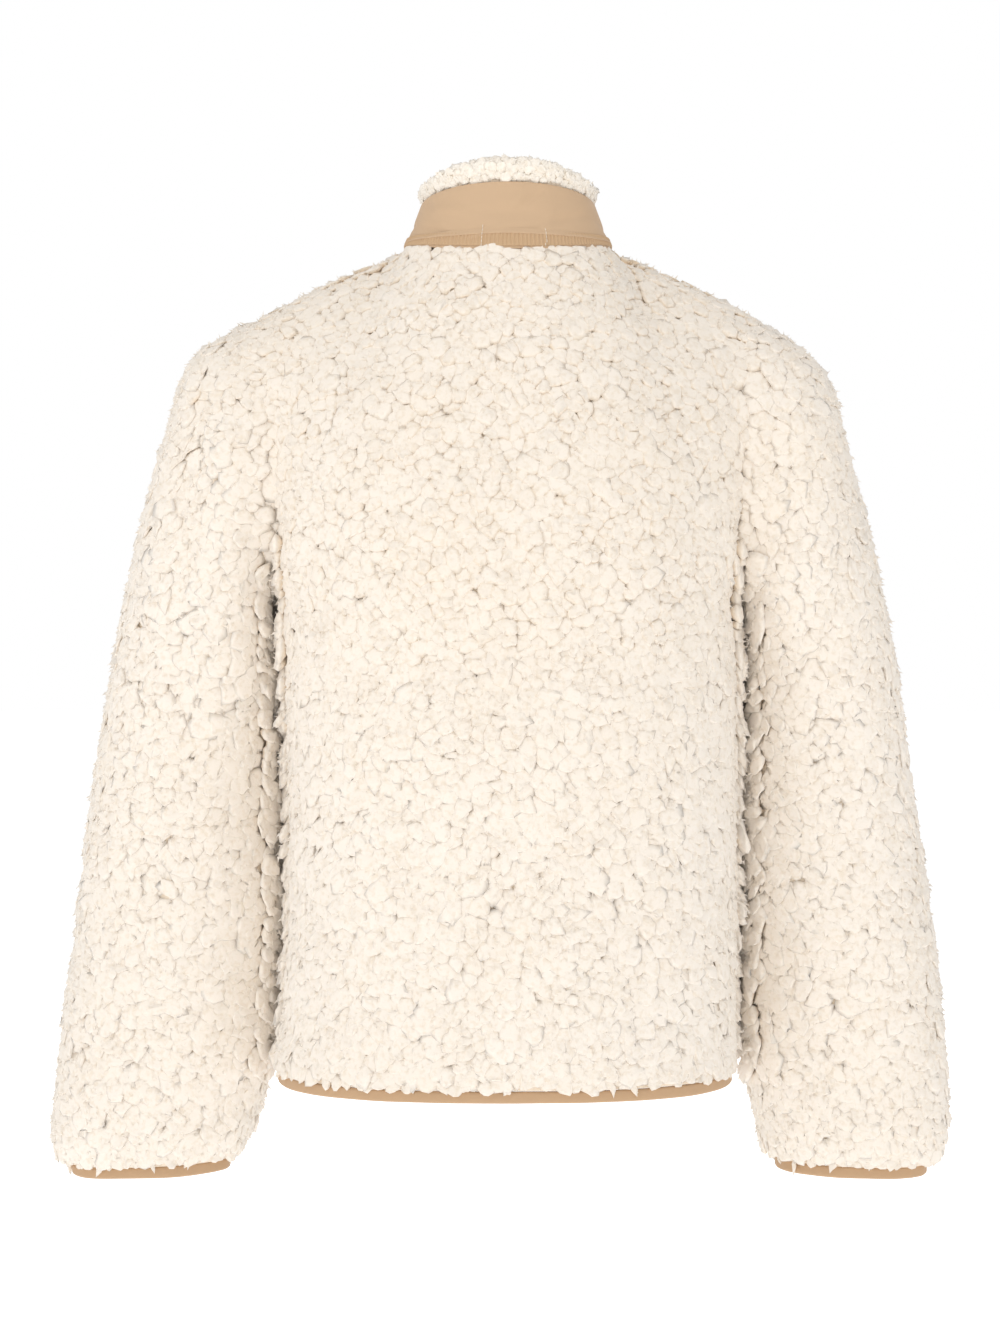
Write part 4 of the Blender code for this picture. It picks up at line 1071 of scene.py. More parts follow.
def flow_of(panel, points):
    """The direction in which each lock leans, how far, and how pointed its end is."""
    count = len(points)
    down = np.tile([0.0, 0.0, -1.0], (count, 1))
    x, below = points[:, 0], -points[:, 2]
    if panel in SLEEVES:
        down[:, 0] = SLEEVE_ASIDE if panel == "sleeve_left" else -SLEEVE_ASIDE
        amount = SLEEVE_LEAN * (0.55 + 0.45 * smooth(below, 0.10, 0.30))
    else:
        middle = PARTING_X if panel == "back" else 0.0
        down[:, 0] = np.clip((x - middle) / PARTING_WIDTH, -MOST_ASIDE, MOST_ASIDE)
        amount = BODY_LEAN + LOW_LEAN * smooth(below, 0.24, 0.50)
        amount += SIDE_LEAN * smooth(np.abs(x), 0.10, 0.17) * smooth(below, 0.10, 0.35)
    wandering = rng.normal(0.0, WANDER, (count, 3))
    return down + wandering, np.clip(amount + rng.normal(0, LEAN_SPREAD, count), *LEAN_LIMITS)


flows, leans = np.zeros_like(tops), np.zeros(len(tops))
for number, panel in enumerate(PANELS):
    mine = owner == number
    flows[mine], leans[mine] = flow_of(panel, tops[mine])
print("mean lean:", round(float(leans.mean()), 3))

# %% [markdown]
# ## From a root to a lock
# A lock is a closed teardrop: a root in the backing, two rings and a crown. In each direction it
# may grow until it meets the neighbour there. That packs the locks like pebbles, and stronger
# ones push the line between two away from them, so that no two locks are alike.

# %% How far each lock may grow
NEIGHBOURS = 15
STRENGTHS = (0.70, 1.35)


def tangents(units, flows):
    """Two directions in the cloth at each lock, the first along its flow."""
    along = flows - (flows * units).sum(axis=1, keepdims=True) * units
    along /= np.linalg.norm(along, axis=1, keepdims=True)
    return along, np.cross(units, along)


def reaches(middles, units, along, aside, turns, guards, guard_units, cap):
    """How far each lock may grow in each of its directions before it meets a neighbour."""
    strength = np.concatenate([rng.uniform(*STRENGTHS, len(middles)), np.ones(len(guards))])
    everyone = np.concatenate([middles, guards])
    all_units = np.concatenate([units, guard_units])
    tree = tree_of(everyone)
    near = np.array([[found[1] for found in tree.find_n(point, NEIGHBOURS)][1:] for point in middles])
    offset = everyone[near] - middles[:, None]
    alike = (all_units[near] * units[:, None]).sum(axis=2) > SAME_SIDE
    x = (offset * along[:, None]).sum(axis=2)
    y = (offset * aside[:, None]).sum(axis=2)
    squared = x**2 + y**2
    facing = np.cos(turns)[:, :, None] * x[:, None] + np.sin(turns)[:, :, None] * y[:, None]
    meets = (facing > 1e-5) & alike[:, None]
    own = strength[:len(middles), None]
    share = own / (own + strength[near])
    reach = np.where(meets, (share * squared)[:, None] / np.maximum(facing, 1e-5), 1.0)
    return np.minimum(reach.min(axis=2), cap)


print("each lock looks at", NEIGHBOURS - 1, "neighbours")

# %% [markdown]
# The rings go a little past the meeting line, so that neighbours press into each other and only
# thin crevices stay open. Leaning and pointing the rings turns the same pebble into a leaf. Each
# point also gets a tone, from the root to the pale tip, for the material to read: low tones are
# painted darker as shade in the crevices.

# %% The form of a lock
SIDES = 9
LOBES = ((1, 0.12), (2, 0.10), (3, 0.08))  # waves round the outline, how far they go in and out
PEAKED = 0.42  # share of the locks that end in a point
LEAN_LENGTH = 0.0046  # how far forward a fully leaning lock's top stands
WIDE_LOCK, SLIM_LOCK = 0.0048, 0.0050  # reach of a usual lock, and reach below which one is slim
RINGS = ((1.10, 0.72), (0.60, 0.95))  # share of the reach, share of the height
RING_NOISE = ((0.07, 0.04), (0.17, 0.055))  # how uneven each ring is in reach and in height
RING_LEAN = ((0.16, 0.22), (0.58, 0.12))  # how far each ring points forward and tips up
TONES = (0.0, 0.62, 0.96, 1.0)  # from the root, over the rings, to the crown; the lower the tone, the more painted crevice shade
LEAN_LIGHTENS_SHADE = 0.45  # how much less painted crevice shade a lock gets as it lies over


def locks(tops, outs, units, flows, leans, guards, guard_ways, height, cap, swell, grown=0.0):
    """Points and tones of one closed teardrop for every root."""
    count = len(tops)
    along, aside = tangents(units, flows)
    middles = tops - MIDDLE_DEPTH * outs
    turns = np.linspace(0, 2 * np.pi, SIDES, endpoint=False)[None, :]
    turns = turns + rng.uniform(0, 2 * np.pi, (count, 1))
    turns += rng.normal(0, 0.10, turns.shape)
    guard_units = guard_ways / np.linalg.norm(guard_ways, axis=1, keepdims=True)
    reach = reaches(middles, units, along, aside, turns, guards, guard_units, cap) * swell
    for lobes, depth in LOBES:
        reach *= 1 + depth * np.cos(lobes * turns + rng.uniform(0, 2 * np.pi, (count, 1)))
    width = reach.mean(axis=1)
    tall = height * rng.uniform(0.84, 1.18, count) * (0.80 + 0.20 * np.clip(width / WIDE_LOCK, 0.5, 1.3))
    tall = tall + grown
    peak = np.where(rng.random(count) < PEAKED, rng.uniform(0.08, 0.30, count),
                    rng.uniform(-0.03, 0.05, count))
    slim = np.clip(width / SLIM_LOCK, 0.3, 1.0)  # a slim lock leans and peaks less
    peak *= slim * (1 - 0.6 * np.clip(grown / 0.003, 0, 1))
    tall *= 0.6 + 0.4 * smooth(slim, 0.35, 0.55)
    roots = tops - ROOT_DEPTH * outs
    lean = leans * LEAN_LENGTH * slim
    ahead, beside = np.cos(turns), np.sin(turns)
    forward = np.clip(ahead, 0, 1)
    rings = []
    for (share, level), (reach_noise, rise_noise), (pointing, tipping) in zip(RINGS, RING_NOISE, RING_LEAN):
        wide = reach * share * (1 + rng.normal(0, reach_noise, reach.shape))
        wide *= 1 + pointing * leans[:, None] * forward**2
        rise = tall[:, None] * level * (1 + rng.normal(0, rise_noise, reach.shape))
        rise *= 1 + tipping * leans[:, None] * ahead
        ring = roots[:, None] + units[:, None] * rise[..., None]
        ring += along[:, None] * (ahead * wide + (lean * level**1.3)[:, None])[..., None]
        ring += aside[:, None] * (beside * wide)[..., None]
        rings.append(ring)
    crowns = roots + units * (tall * (1 + peak))[:, None]
    crowns += along * (lean * 1.35 + peak * height * (0.2 + 0.8 * leans))[:, None]
    crowns += aside * (peak * height * rng.normal(0, 0.5, count))[:, None]
    points = np.concatenate([roots[:, None], *rings, crowns[:, None]], axis=1)
    # Low tones near the root bring in the painted crevice shade; leaning locks get higher tones and less of
    # it
    tones = np.repeat(TONES, (1, SIDES, SIDES, 1))[None, :] + rng.normal(0, 0.03, points.shape[:2])
    tones[:, 1:] += LEAN_LIGHTENS_SHADE * leans[:, None]
    return points, tones


def lock_triangles():
    """The faces of one lock: its underside, the band between its rings, and its top."""
    faces = []
    for k in range(SIDES):
        low, high = 1 + k, 1 + SIDES + k
        next_low, next_high = 1 + (k + 1) % SIDES, 1 + SIDES + (k + 1) % SIDES
        faces += [(0, next_low, low), (low, next_low, next_high), (low, next_high, high),
                  (high, next_high, 1 + 2 * SIDES)]
    return np.array(faces)


LOCK_FACES = lock_triangles()
print("triangles in a lock:", len(LOCK_FACES))

# %% [markdown]
# One mesh holds all the locks of a panel, since thousands of separate objects would be slow.
# Loose fibres blur the form of a real lock, so its normals are turned most of the way to those
# of the cloth. Under the arms, where the pile of body and sleeve meets, locks grow longer.

# %% Grow the locks
LOCK_HEIGHT, LOCK_CAP = 0.0066, 0.0085  # how tall a lock is, and the most that it may reach
OVERLAPS, LEANING_OVERLAP = (1.20, 1.46), 0.12  # how far locks grow past the meeting line
SOFTENED = (0.0, 0.78)  # how far normals turn to those of the cloth, at the lock's foot and on top
ARM_GAP, GAP_SEARCH, MOST_LONGER = 0.10, (0.012, 0.014), 0.0075
EDGE_FADE = (0.006, 0.020)  # nearer to a free edge than this, locks stand upright


def closing_up(tops, units):
    """How much longer a lock grows where pile faces it across the narrow gap under an arm."""
    tree = tree_of(tops)
    longer = np.zeros(len(tops))
    for index in np.flatnonzero(np.abs(tops[:, 0]) > ARM_GAP):
        near = numbers_near(tree, tops[index] + units[index] * GAP_SEARCH[0], GAP_SEARCH[1])
        ahead = (tops[near] - tops[index]) @ units[index]
        faced = (units[near] @ units[index] < -0.3) & (ahead > 0.0005)
        if faced.any():
            longer[index] = np.clip(ahead[faced].min() / 2, 0.0, MOST_LONGER) * rng.uniform(0.4, 1.15)
    print("locks that close a gap:", int((longer > 0).sum()))
    return longer


def put_locks(name, points, faces, tones, finish, shades, units, softened=SOFTENED, facets=False):
    """One mesh of many small closed forms, with their tones and their softened normals."""
    least, most = softened
    size = points.shape[1]
    triangles = (faces[None] + (np.arange(len(points)) * size)[:, None, None]).reshape(-1, 3)
    made = put(name, points.reshape(-1, 3), triangles, [finish])
    own = made.data.polygon_normals if facets else made.data.vertex_normals
    facing = np.empty(len(own) * 3, np.float32)
    own.foreach_get("vector", facing)
    facing, cloth = facing.reshape(-1, 3), np.repeat(units, len(faces) if facets else size, axis=0)
    share = least + (most - least) * smooth((facing * cloth).sum(axis=1, keepdims=True), -0.1, 0.7)
    facing = facing * (1 - share) + cloth * share
    facing /= np.linalg.norm(facing, axis=1, keepdims=True)
    if facets:
        made.data.normals_split_custom_set(np.repeat(facing, 3, axis=0))
    else:
        made.data.normals_split_custom_set_from_vertices(facing)
    # tip brings in the painted root shade; lock holds random tone, and on the body also painted shade
    for title, values in (("tip", tones.ravel()), ("lock", np.repeat(shades, size))):
        layer = made.data.attributes.new(title, "FLOAT", "POINT")
        layer.data.foreach_set("value", values.astype(np.float32))
    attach(made, "jacket")
    print(name, len(triangles), "triangles in", len(points), "locks")
    return made


edges = tree_of(guard_places)
from_edge = smooth(np.array([edges.find(point)[2] for point in tops]), *EDGE_FADE)
leans *= 0.30 + 0.70 * from_edge
overlap = (rng.uniform(*OVERLAPS, len(tops)) + LEANING_OVERLAP * smooth(leans, 0.2, 0.9))[:, None]
points, tones = locks(tops, outs, units, flows, leans, guard_places, guard_ways,
                      LOCK_HEIGHT, LOCK_CAP, overlap, closing_up(tops, units))
# Random tone for each lock, plus painted shade on upright locks, which darkens the upper back
shades = 0.45 * rng.random(len(tops)) + 0.45 * (1 - leans)
for number, panel in enumerate(PANELS):
    mine = owner == number
    put_locks(panel + "_pile", points[mine], LOCK_FACES, tones[mine], pile_finish,
                             shades[mine], units[mine])

# %% [markdown]
# Some fibres stand off every lock, and they are what makes the outline of the jacket look
# furry. Each wisp is a small closed tongue that starts inside a lock, near its top, and leans the
# way the lock does. Four triangles a wisp are enough for something three millimetres long. Along
# hem, cuffs and neck the wisps are short, so that none hangs over a binding like an icicle.

# %% Wisps
WISPS = 3  # on each lock
WISP_LENGTH, WISP_ROOT, WISP_WIDTHS = 0.0033, 0.0012, (0.0006, 0.0013)
WISP_SOFTENED = (0.45, 0.6)
WISP_FACES = np.array([(0, 2, 1), (0, 1, 3), (1, 2, 3), (2, 0, 3)])
# A wisp's foot has a lower tone, so it takes some painted root shade
WISP_TONES = (0.80, 0.80, 0.80, 1.0)


def wisps(points, units, flows, leans, shades, lengths):
    """Small tongues on the upper points of the locks, with the tones and ways of their locks."""
    lock = np.repeat(np.arange(len(points)), WISPS)
    count = len(lock)
    upper = rng.integers(1 + SIDES, points.shape[1], count)
    foot, crown = points[lock, upper], points[lock, -1]
    along, _ = tangents(units, flows)
    way = units[lock] * rng.uniform(0.5, 1.1, (count, 1)) + along[lock] * (0.9 * leans[lock])[:, None]
    way += (foot - crown) / WIDE_LOCK * 0.55 + rng.normal(0, 0.28, (count, 3))
    way /= np.linalg.norm(way, axis=1, keepdims=True)
    first, second = tangents(way, rng.normal(0, 1, (count, 3)))
    wide = rng.uniform(*WISP_WIDTHS, (count, 1))
    foot = foot - way * WISP_ROOT
    base = [foot + wide * (math.cos(turn) * first + math.sin(turn) * second)
            for turn in np.linspace(0, 2 * math.pi, 3, endpoint=False)]
    tip = foot + way * (WISP_ROOT + lengths[lock] * rng.uniform(0.45, 1.15, count))[:, None]
    spikes = np.stack([*base, tip], axis=1)
    tones = np.tile(WISP_TONES, (count, 1)) + 0.1 * rng.random((count, 1))
    return spikes, tones, shades[lock], units[lock]


lengths = WISP_LENGTH * (0.15 + 0.85 * from_edge)
spikes, spike_tones, spike_shades, spike_units = wisps(points, units, flows, leans, shades, lengths)
spike_owner = np.repeat(owner, WISPS)
for number, panel in enumerate(PANELS):
    mine = spike_owner == number
    put_locks(panel + "_wisps", spikes[mine], WISP_FACES, spike_tones[mine], pile_finish,
                             spike_shades[mine], spike_units[mine], WISP_SOFTENED, facets=True)

# %% [markdown]
# ## The pile facing inside the collar
# The collar is lined with finer pile, which stands up past the woven edge and rolls a little
# over it. The locks stand on a slim padded core, a sheet that runs up the inside of the neck and
# past the woven edge. It is made from rows of the collar's own grid, at other depths.

# %% The facing's core
SHELL_WALL = 0.0016
FACING_DEPTH, FACING_TIMES, ROLL_SHARE = 0.0105, 4, 0.5
# columns: height above the edge, depth of the pile's outer side, depth of its inner side
FACING_ROLL = ((0.0008, 0.0008, 0.0110), (0.0090, -0.0055, 0.0110), (0.0165, -0.0048, 0.0098),
               (0.0210, -0.0010, 0.0070))
# how far the core lies inside the pile: on its outer side, on its inner side, and at its rim
CORE_OUTER, CORE_INNER, CORE_RIM = 0.0042, 0.0046, 0.0042
collar_fine, collar_ways = (refined_twice(found["collar"], FACING_TIMES, FACING_TIMES)
                            for found in (coarse, coarse_ways))
rolled = collar_surface([1.0 + row[0] / COLLAR_HEIGHT for row in FACING_ROLL], ROLL_SHARE)
rolled = refined(rolled, 1, (), FACING_TIMES)


def facing_rows(outer_shift=0.0, inner_shift=0.0):
    """Rows of the facing's inner side from the seam up, and of its outer side above the edge."""
    inside = list(collar_fine[1::2] - (FACING_DEPTH - inner_shift) * collar_ways[1::2])
    inside += [row - (roll[2] - inner_shift) * collar_ways[-1] for row, roll in zip(rolled, FACING_ROLL)]
    outside = [row - (roll[1] + outer_shift) * collar_ways[-1] for row, roll in zip(rolled, FACING_ROLL)]
    return np.array(inside), np.array(outside)


core_inside, core_outside = facing_rows(CORE_OUTER, CORE_INNER)
core_inside[-1, :, 2] -= CORE_RIM
core_outside[-1, :, 2] -= CORE_RIM
core_outside = np.concatenate([collar_fine[1::2] - (SHELL_WALL + SEAM_GAP) * collar_ways[1::2], core_outside])
facing_core = shell("facing_core", drawn_in(core_outside), drawn_in(core_inside), backing_finish)
stands_for(facing_core, "collar_facing")
print("facing's core:", len(facing_core.data.polygons), "faces")

# %% [markdown]
# The pile of the facing grows from a sheet that goes up inside, over the rim and down outside to
# the woven edge. It has the same kind of locks as the body, only smaller and standing up. None
# grow beside the zip, where the two ends of the collar meet.

# %% The facing's pile
FACING_SPACING, FACING_HEIGHT, FACING_CAP, FACING_OVERLAP = 0.0028, 0.0056, 0.0040, 1.35
FACING_CANDIDATES, FACING_SIZES, FACING_SOFTENED = 250000, (0.7, 1.35), (0.2, 0.85)
FACING_WISP, ZIP_CLEAR = 0.0014, 0.0095
FACING_WANDER, FACING_LEAN, FACING_LEAN_SPREAD, FACING_LEAN_LIMITS = 0.6, 0.55, 0.2, (0.1, 1.0)
BEYOND_EDGE, BEYOND_ENDS = (0.001, 0.004), (-0.001, 0.001, 0.003)
pile_inside, pile_outside = facing_rows()
pile_sheet = np.concatenate([pile_inside, pile_outside[::-1]])[:, ::-1]
pile_way = ways_out([pile_sheet], [False])[0]
pile_way /= np.linalg.norm(pile_way, axis=2, keepdims=True)
facing_tops, facing_outs, facing_area = candidates(pile_sheet, pile_way, False, FACING_CANDIDATES)
order = rng.permutation(len(facing_tops))
order = order[(np.abs(facing_tops[order, 0]) > ZIP_CLEAR) | (facing_tops[order, 1] > 0)]
facing_tops, facing_outs = facing_tops[order], facing_outs[order]
facing_outs /= np.linalg.norm(facing_outs, axis=1, keepdims=True)
kept = thinned(facing_tops - MIDDLE_DEPTH * facing_outs, facing_outs,
               FACING_SPACING * rng.uniform(*FACING_SIZES, len(facing_tops)))
facing_tops, facing_outs = facing_tops[kept], facing_outs[kept]
facing_flow = facing_outs * 0.2 + (0.0, 0.0, 1.0) + rng.normal(0, FACING_WANDER, facing_tops.shape)
facing_lean = np.clip(rng.normal(FACING_LEAN, FACING_LEAN_SPREAD, len(facing_tops)), *FACING_LEAN_LIMITS)
ends = [beyond(pile_sheet[-1], pile_sheet[-2], pile_way[-1], *BEYOND_EDGE)]
ends += [beyond(pile_sheet[:, end], pile_sheet[:, inner], pile_way[:, end], *BEYOND_ENDS)
         for end, inner in ((0, 1), (-1, -2))]
edge_guard, edge_guard_way = (np.concatenate(parts) for parts in zip(*ends))
points, tones = locks(facing_tops, facing_outs, facing_outs, facing_flow, facing_lean, edge_guard,
                      edge_guard_way, FACING_HEIGHT, FACING_CAP, FACING_OVERLAP)
facing_shades = 0.5 * rng.random(len(points))
facing_pile = put_locks("facing_pile", points, LOCK_FACES, tones, facing_finish,
                        facing_shades, facing_outs, FACING_SOFTENED)
spikes, spike_tones, spike_shades, spike_units = wisps(
    points, facing_outs, facing_flow, facing_lean, facing_shades, np.full(len(points), FACING_WISP))
facing_wisps = put_locks("facing_wisps", spikes, WISP_FACES, spike_tones, facing_finish,
                         spike_shades, spike_units, WISP_SOFTENED, facets=True)
print("facing:", round(facing_area, 4), "m2 of fine pile")

# %% [markdown]
# ## The woven collar
# The shell of the collar is smooth poplin, cut slightly curved and bagged out, so it is never
# quite flat: soft diagonal creases run up from the lower corners. They are pressed into the
# grid one by one, on a finer copy of it than the pile needs.

# %% Collar shell with its creases
COLLAR_TIMES = (7, 8)
FOOT_LIFT, CREASE_STRENGTH, EDGE_ROUNDING = 0.0004, 1.9, 0.0006
# columns: across from the middle of the back to the wearer's left, height, reach, half its
# length, slant in degrees, depth
COLLAR_CREASES = (
    (0.062, 0.018, 0.0040, 0.024, 24.0, -0.0009),
    (0.048, 0.034, 0.0036, 0.020, 12.0, 0.0006),
    (0.020, 0.012, 0.0028, 0.018, -22.0, 0.0006),
    (-0.012, 0.048, 0.0034, 0.016, -58.0, 0.0007),
    (-0.022, 0.045, 0.0030, 0.018, -40.0, -0.0007),
    (-0.030, 0.018, 0.0030, 0.014, -62.0, 0.0006),
    (-0.045, 0.026, 0.0038, 0.026, -14.0, -0.0008),
    (-0.070, 0.040, 0.0042, 0.022, -36.0, 0.0007),
    (0.080, 0.045, 0.0044, 0.022, 48.0, -0.0007),
    (0.004, 0.030, 0.0050, 0.040, 2.0, -0.0005),
    (0.118, 0.022, 0.0044, 0.026, -18.0, -0.0008),
    (0.150, 0.040, 0.0044, 0.024, 30.0, 0.0007),
    (-0.112, 0.020, 0.0042, 0.026, 20.0, -0.0008),
    (-0.148, 0.042, 0.0046, 0.022, -28.0, 0.0007),
    (0.180, 0.016, 0.0040, 0.022, 12.0, -0.0007),
    (-0.182, 0.026, 0.0040, 0.022, -10.0, -0.0007),
)
seam, above_seam = coarse["collar"][:2]
foot = seam + (FOOT_LIFT / COLLAR_HEIGHT * COLLAR_ROWS) * (above_seam - seam)
shell_grid = refined_twice(np.concatenate([foot[None], coarse["collar"][1:]]), *COLLAR_TIMES)
shell_way = refined_twice(coarse_ways["collar"], *COLLAR_TIMES)
collar_along = arc(shell_grid[len(shell_grid) // 2])
collar_along = collar_along[len(collar_along) // 2] - collar_along
collar_up = np.linspace(0.0, COLLAR_HEIGHT, len(shell_grid))[:, None]
shell_outer = creased(shell_grid, shell_way, collar_along[None, :], collar_up,
                      [(*crease[:5], crease[5] * CREASE_STRENGTH) for crease in COLLAR_CREASES])
edge_round = np.clip(1 - np.arange(len(shell_grid))[::-1] / 2.0, 0, 1)[:, None, None] ** 2
shell_outer = shell_outer - shell_way * edge_round * EDGE_ROUNDING
shell_inner = shell_grid - shell_way * SHELL_WALL
collar_cloth = shell("collar_cloth", drawn_in(shell_outer), drawn_in(shell_inner), cloth_finish)
stands_for(collar_cloth, "collar_shell")
print("collar round the neck:", round(float(collar_along[0] - collar_along[-1]), 4), "m")

# %% [markdown]
# ## The gathered tape along the neck seam
# A narrow tape is gathered over an elastic at the foot of the collar. Its pleats are only
# 3 mm wide, which a bump can't make convincing at this size, so they are real ripples: many
# columns along the tape, each pushed out by a wave whose phase wanders a little.

# %% Neck tape with its pleats
PLEAT, TAPE_LOW, TAPE_HIGH, TAPE_WALL = 0.0031, 0.0022, 0.0130, 0.0012
PLEAT_COLUMNS, PLEAT_SPREAD = 8, 0.18  # columns of the grid in each pleat, how uneven pleats are
BULK, RIPPLE = 0.62, 0.36  # shares of the tape's thickness that are cloth and pleats
EDGE_TIMES = 8  # how much finer than the coarse grid the edges of collar, hem and cuffs are
# columns: share of the tape's height, how far the pleats show, how thick the tape is
TAPE_ROWS = ((0.0, 0.15, 0.7), (0.10, 0.8, 1.0), (0.35, 1.0, 1.0), (0.62, 1.0, 1.0), (0.84, 0.9, 1.0),
             (0.92, 0.7, 0.9), (1.0, 0.2, 0.5))


def along_collar(height, count):
    """A line round the collar at a height above the seam, with its way out, evenly spaced."""
    row_at = height / COLLAR_HEIGHT * COLLAR_ROWS
    row = min(int(row_at), COLLAR_ROWS - 1)
    share = row_at - row
    line, way = (refined(found["collar"][row] * (1 - share) + found["collar"][row + 1] * share,
                         times=EDGE_TIMES) for found in (coarse, coarse_ways))
    at = arc(line)
    wanted = np.linspace(0.0, at[-1], count)
    return at_distance(wanted, at, line), at_distance(wanted, at, way), at[-1]


tape_length = along_collar(0.0, 3)[2]
tape_columns = int(tape_length / PLEAT) * PLEAT_COLUMNS
phase = np.cumsum(1 + PLEAT_SPREAD * rng.normal(0, 1, tape_columns)) * (2 * np.pi / PLEAT_COLUMNS)
pleats = np.cos(phase)
tape_outer, tape_inner = [], []
for share, ripple, bulk in TAPE_ROWS:
    line, way, _ = along_collar(TAPE_LOW + share * (TAPE_HIGH - TAPE_LOW), tape_columns)
    lift = SEAM_GAP + TAPE_WALL * (BULK * bulk + RIPPLE * ripple * pleats)
    tape_outer.append(line + way * lift[:, None])
    tape_inner.append(line + way * SEAM_GAP)
neck_tape = shell("neck_tape_gathered", tape_outer, tape_inner, gathered_finish)
stands_for(neck_tape, "neck_tape")
print("tape:", round(float(tape_length), 3), "m with", int(tape_length / PLEAT), "pleats")

# %% [markdown]
# ## Bindings of hem and cuffs
# Each raw edge is folded into a strip of the tan cloth. Folded cloth has a rounded lower edge
# and puckers where it was stitched. A rounded profile is carried along the edge, and small
# uneven puckers push it in and out. A bevelled curve could carry the profile too, but would
# not keep it square to the cloth on the way round.

# %% Folded bindings
BINDING_WALL, BINDING_DROP, LOWER_GAP = 0.0042, 0.0095, 0.0002
HEM_INSET, CUFF_INSET = 0.0030, 0.0048  # how far inside the tips of the pile they lie
PUCKERS, PUCKER_DEPTH = (0.011, 0.016, 0.023, 0.031), 0.00030  # wavelengths and depth
SAGS, SAG_DEPTH = (0.050, 0.085, 0.160), 0.00035
# columns: share of the thickness from the outer side, share of the drop from the top
BINDING_PROFILE = (
    (0.14, 0.02), (0.03, 0.14), (0.00, 0.30), (0.02, 0.55), (0.00, 0.78), (0.10, 0.91), (0.32, 0.985),
    (0.55, 1.00), (0.80, 0.96), (0.95, 0.84), (1.00, 0.62), (1.00, 0.30), (0.94, 0.08), (0.70, 0.02),
)


def wander(count, closed, waves, size):
    """A slow uneven curve along an edge, the sum of a few waves that close up."""
    turn = np.linspace(0, 2 * np.pi, count, endpoint=not closed)
    curve = np.zeros(count)
    for wave in waves:
        curve += rng.normal(0, 1) * np.sin(wave * turn + rng.uniform(0, 2 * np.pi))
    return size * curve / math.sqrt(len(waves))


def binding(name, node_name, edge, way, down, inset, closed):
    """A tube of folded cloth along an edge, and its length."""
    edge, way = (refined(run, times=EDGE_TIMES, closed=closed) for run in (edge, way))
    count, size = len(edge), len(BINDING_PROFILE)
    girth = float(arc(edge)[-1])
    pucker = wander(count, closed, [int(girth / length) for length in PUCKERS], PUCKER_DEPTH)
    sag = wander(count, closed, [int(girth / length) + 1 for length in SAGS], SAG_DEPTH)
    rows = []
    for depth_share, drop_share in BINDING_PROFILE:
        depth = inset + BINDING_WALL * depth_share + pucker * (0.4 + 0.6 * math.sin(math.pi * drop_share))
        drop = SEAM_GAP + (BINDING_DROP - LOWER_GAP) * drop_share + sag * drop_share * 0.5
        rows.append(edge - way * depth[:, None] + down * drop[:, None])
    index = np.arange(size * count).reshape(size, count)
    ring = np.concatenate([index, index[:1]])
    if closed:
        ring = np.concatenate([ring, ring[:, :1]], axis=1)
    faces = quads(ring[1:, :-1], ring[1:, 1:], ring[:-1, 1:], ring[:-1, :-1])
    made = put(name, np.concatenate(rows), faces, [binding_finish])
    if not closed:
        cap_ends(made, index)
    stands_for(made, node_name)
    print(name, round(girth, 3), "m round,", len(made.data.polygons), "faces")
    return made, girth


def cap_ends(made, index):
    """Closes the two ends of a tube of cloth."""
    mesh = bmesh.new()
    mesh.from_mesh(made.data)
    mesh.verts.ensure_lookup_table()
    mesh.faces.new([mesh.verts[i] for i in index[:, 0]])
    mesh.faces.new([mesh.verts[i] for i in index[::-1, -1]])
    bmesh.ops.recalc_face_normals(mesh, faces=mesh.faces)
    mesh.to_mesh(made.data)
    mesh.free()


hem_edge, hem_way = (np.vstack([found["front_left"][0], found["back"][0][1:], found["front_right"][0][1:]])
                     for found in (coarse, coarse_ways))
hem, _ = binding("hem_fold", "hem_binding", hem_edge, hem_way, np.array([0.0, 0.0, -1.0]), HEM_INSET, False)
for name in SLEEVES:
    ring = coarse[name][-1]
    binding(name.replace("sleeve", "cuff_fold"), name.replace("sleeve", "cuff_binding"),
                         ring, coarse_ways[name][-1], ring_axis(ring), CUFF_INSET, True)

# %% [markdown]
# The collar's shell is turned under and stitched down just above the pleats, so its lower edge
# stands over the tape as a narrow lip, with a thin line of shadow under it.

# %% Lip of the shell over the tape
LIP_ROWS = ((0.0121, 0.00095), (0.0122, 0.00150), (0.0128, 0.00162), (0.0140, 0.00125), (0.0156, 0.00060),
            (0.0172, 0.00020))  # height above the seam, how far it stands proud
LIP_WAVES, LIP_UNEVEN = (9, 17, 31, 58), 0.00012
LIP_DROP = 0.0062  # how much lower the lip runs at the sides of the neck
NECK_SIDE, DROP_CURVE = 0.085, 1.6  # where it is lowest, and how late it gets there
lip_columns = tape_columns // 3
lip_outer, lip_inner = [], []
lip_wave = wander(lip_columns, False, LIP_WAVES, LIP_UNEVEN)
foot_line, _, _ = along_collar(0.0, lip_columns)
lip_drop = LIP_DROP * np.clip(np.abs(foot_line[:, :1]) / NECK_SIDE, 0, 1) ** DROP_CURVE
for height, lift in LIP_ROWS:
    line, way, _ = along_collar(height, lip_columns)
    lower, _, _ = along_collar(max(height - LIP_DROP, 0.0), lip_columns)
    line = line + (lower - line) * lip_drop / LIP_DROP
    lip_outer.append(line + way * (lift + lip_wave * (lift > 0.0005))[:, None])
    lip_inner.append(line + way * min(lift - 0.0001, 0.0007))
collar_lip = shell("collar_lip", lip_outer, lip_inner, cloth_finish)
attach(collar_lip, "jacket")
print("lip faces:", len(collar_lip.data.polygons))

# %% [markdown]
# Two short rows of pale hand stitches tack the collar's foot at the back. Each stitch is a
# little arch of thread: a tube round a few points, made in mesh code, since a curve object
# would have to be converted for the export anyway.

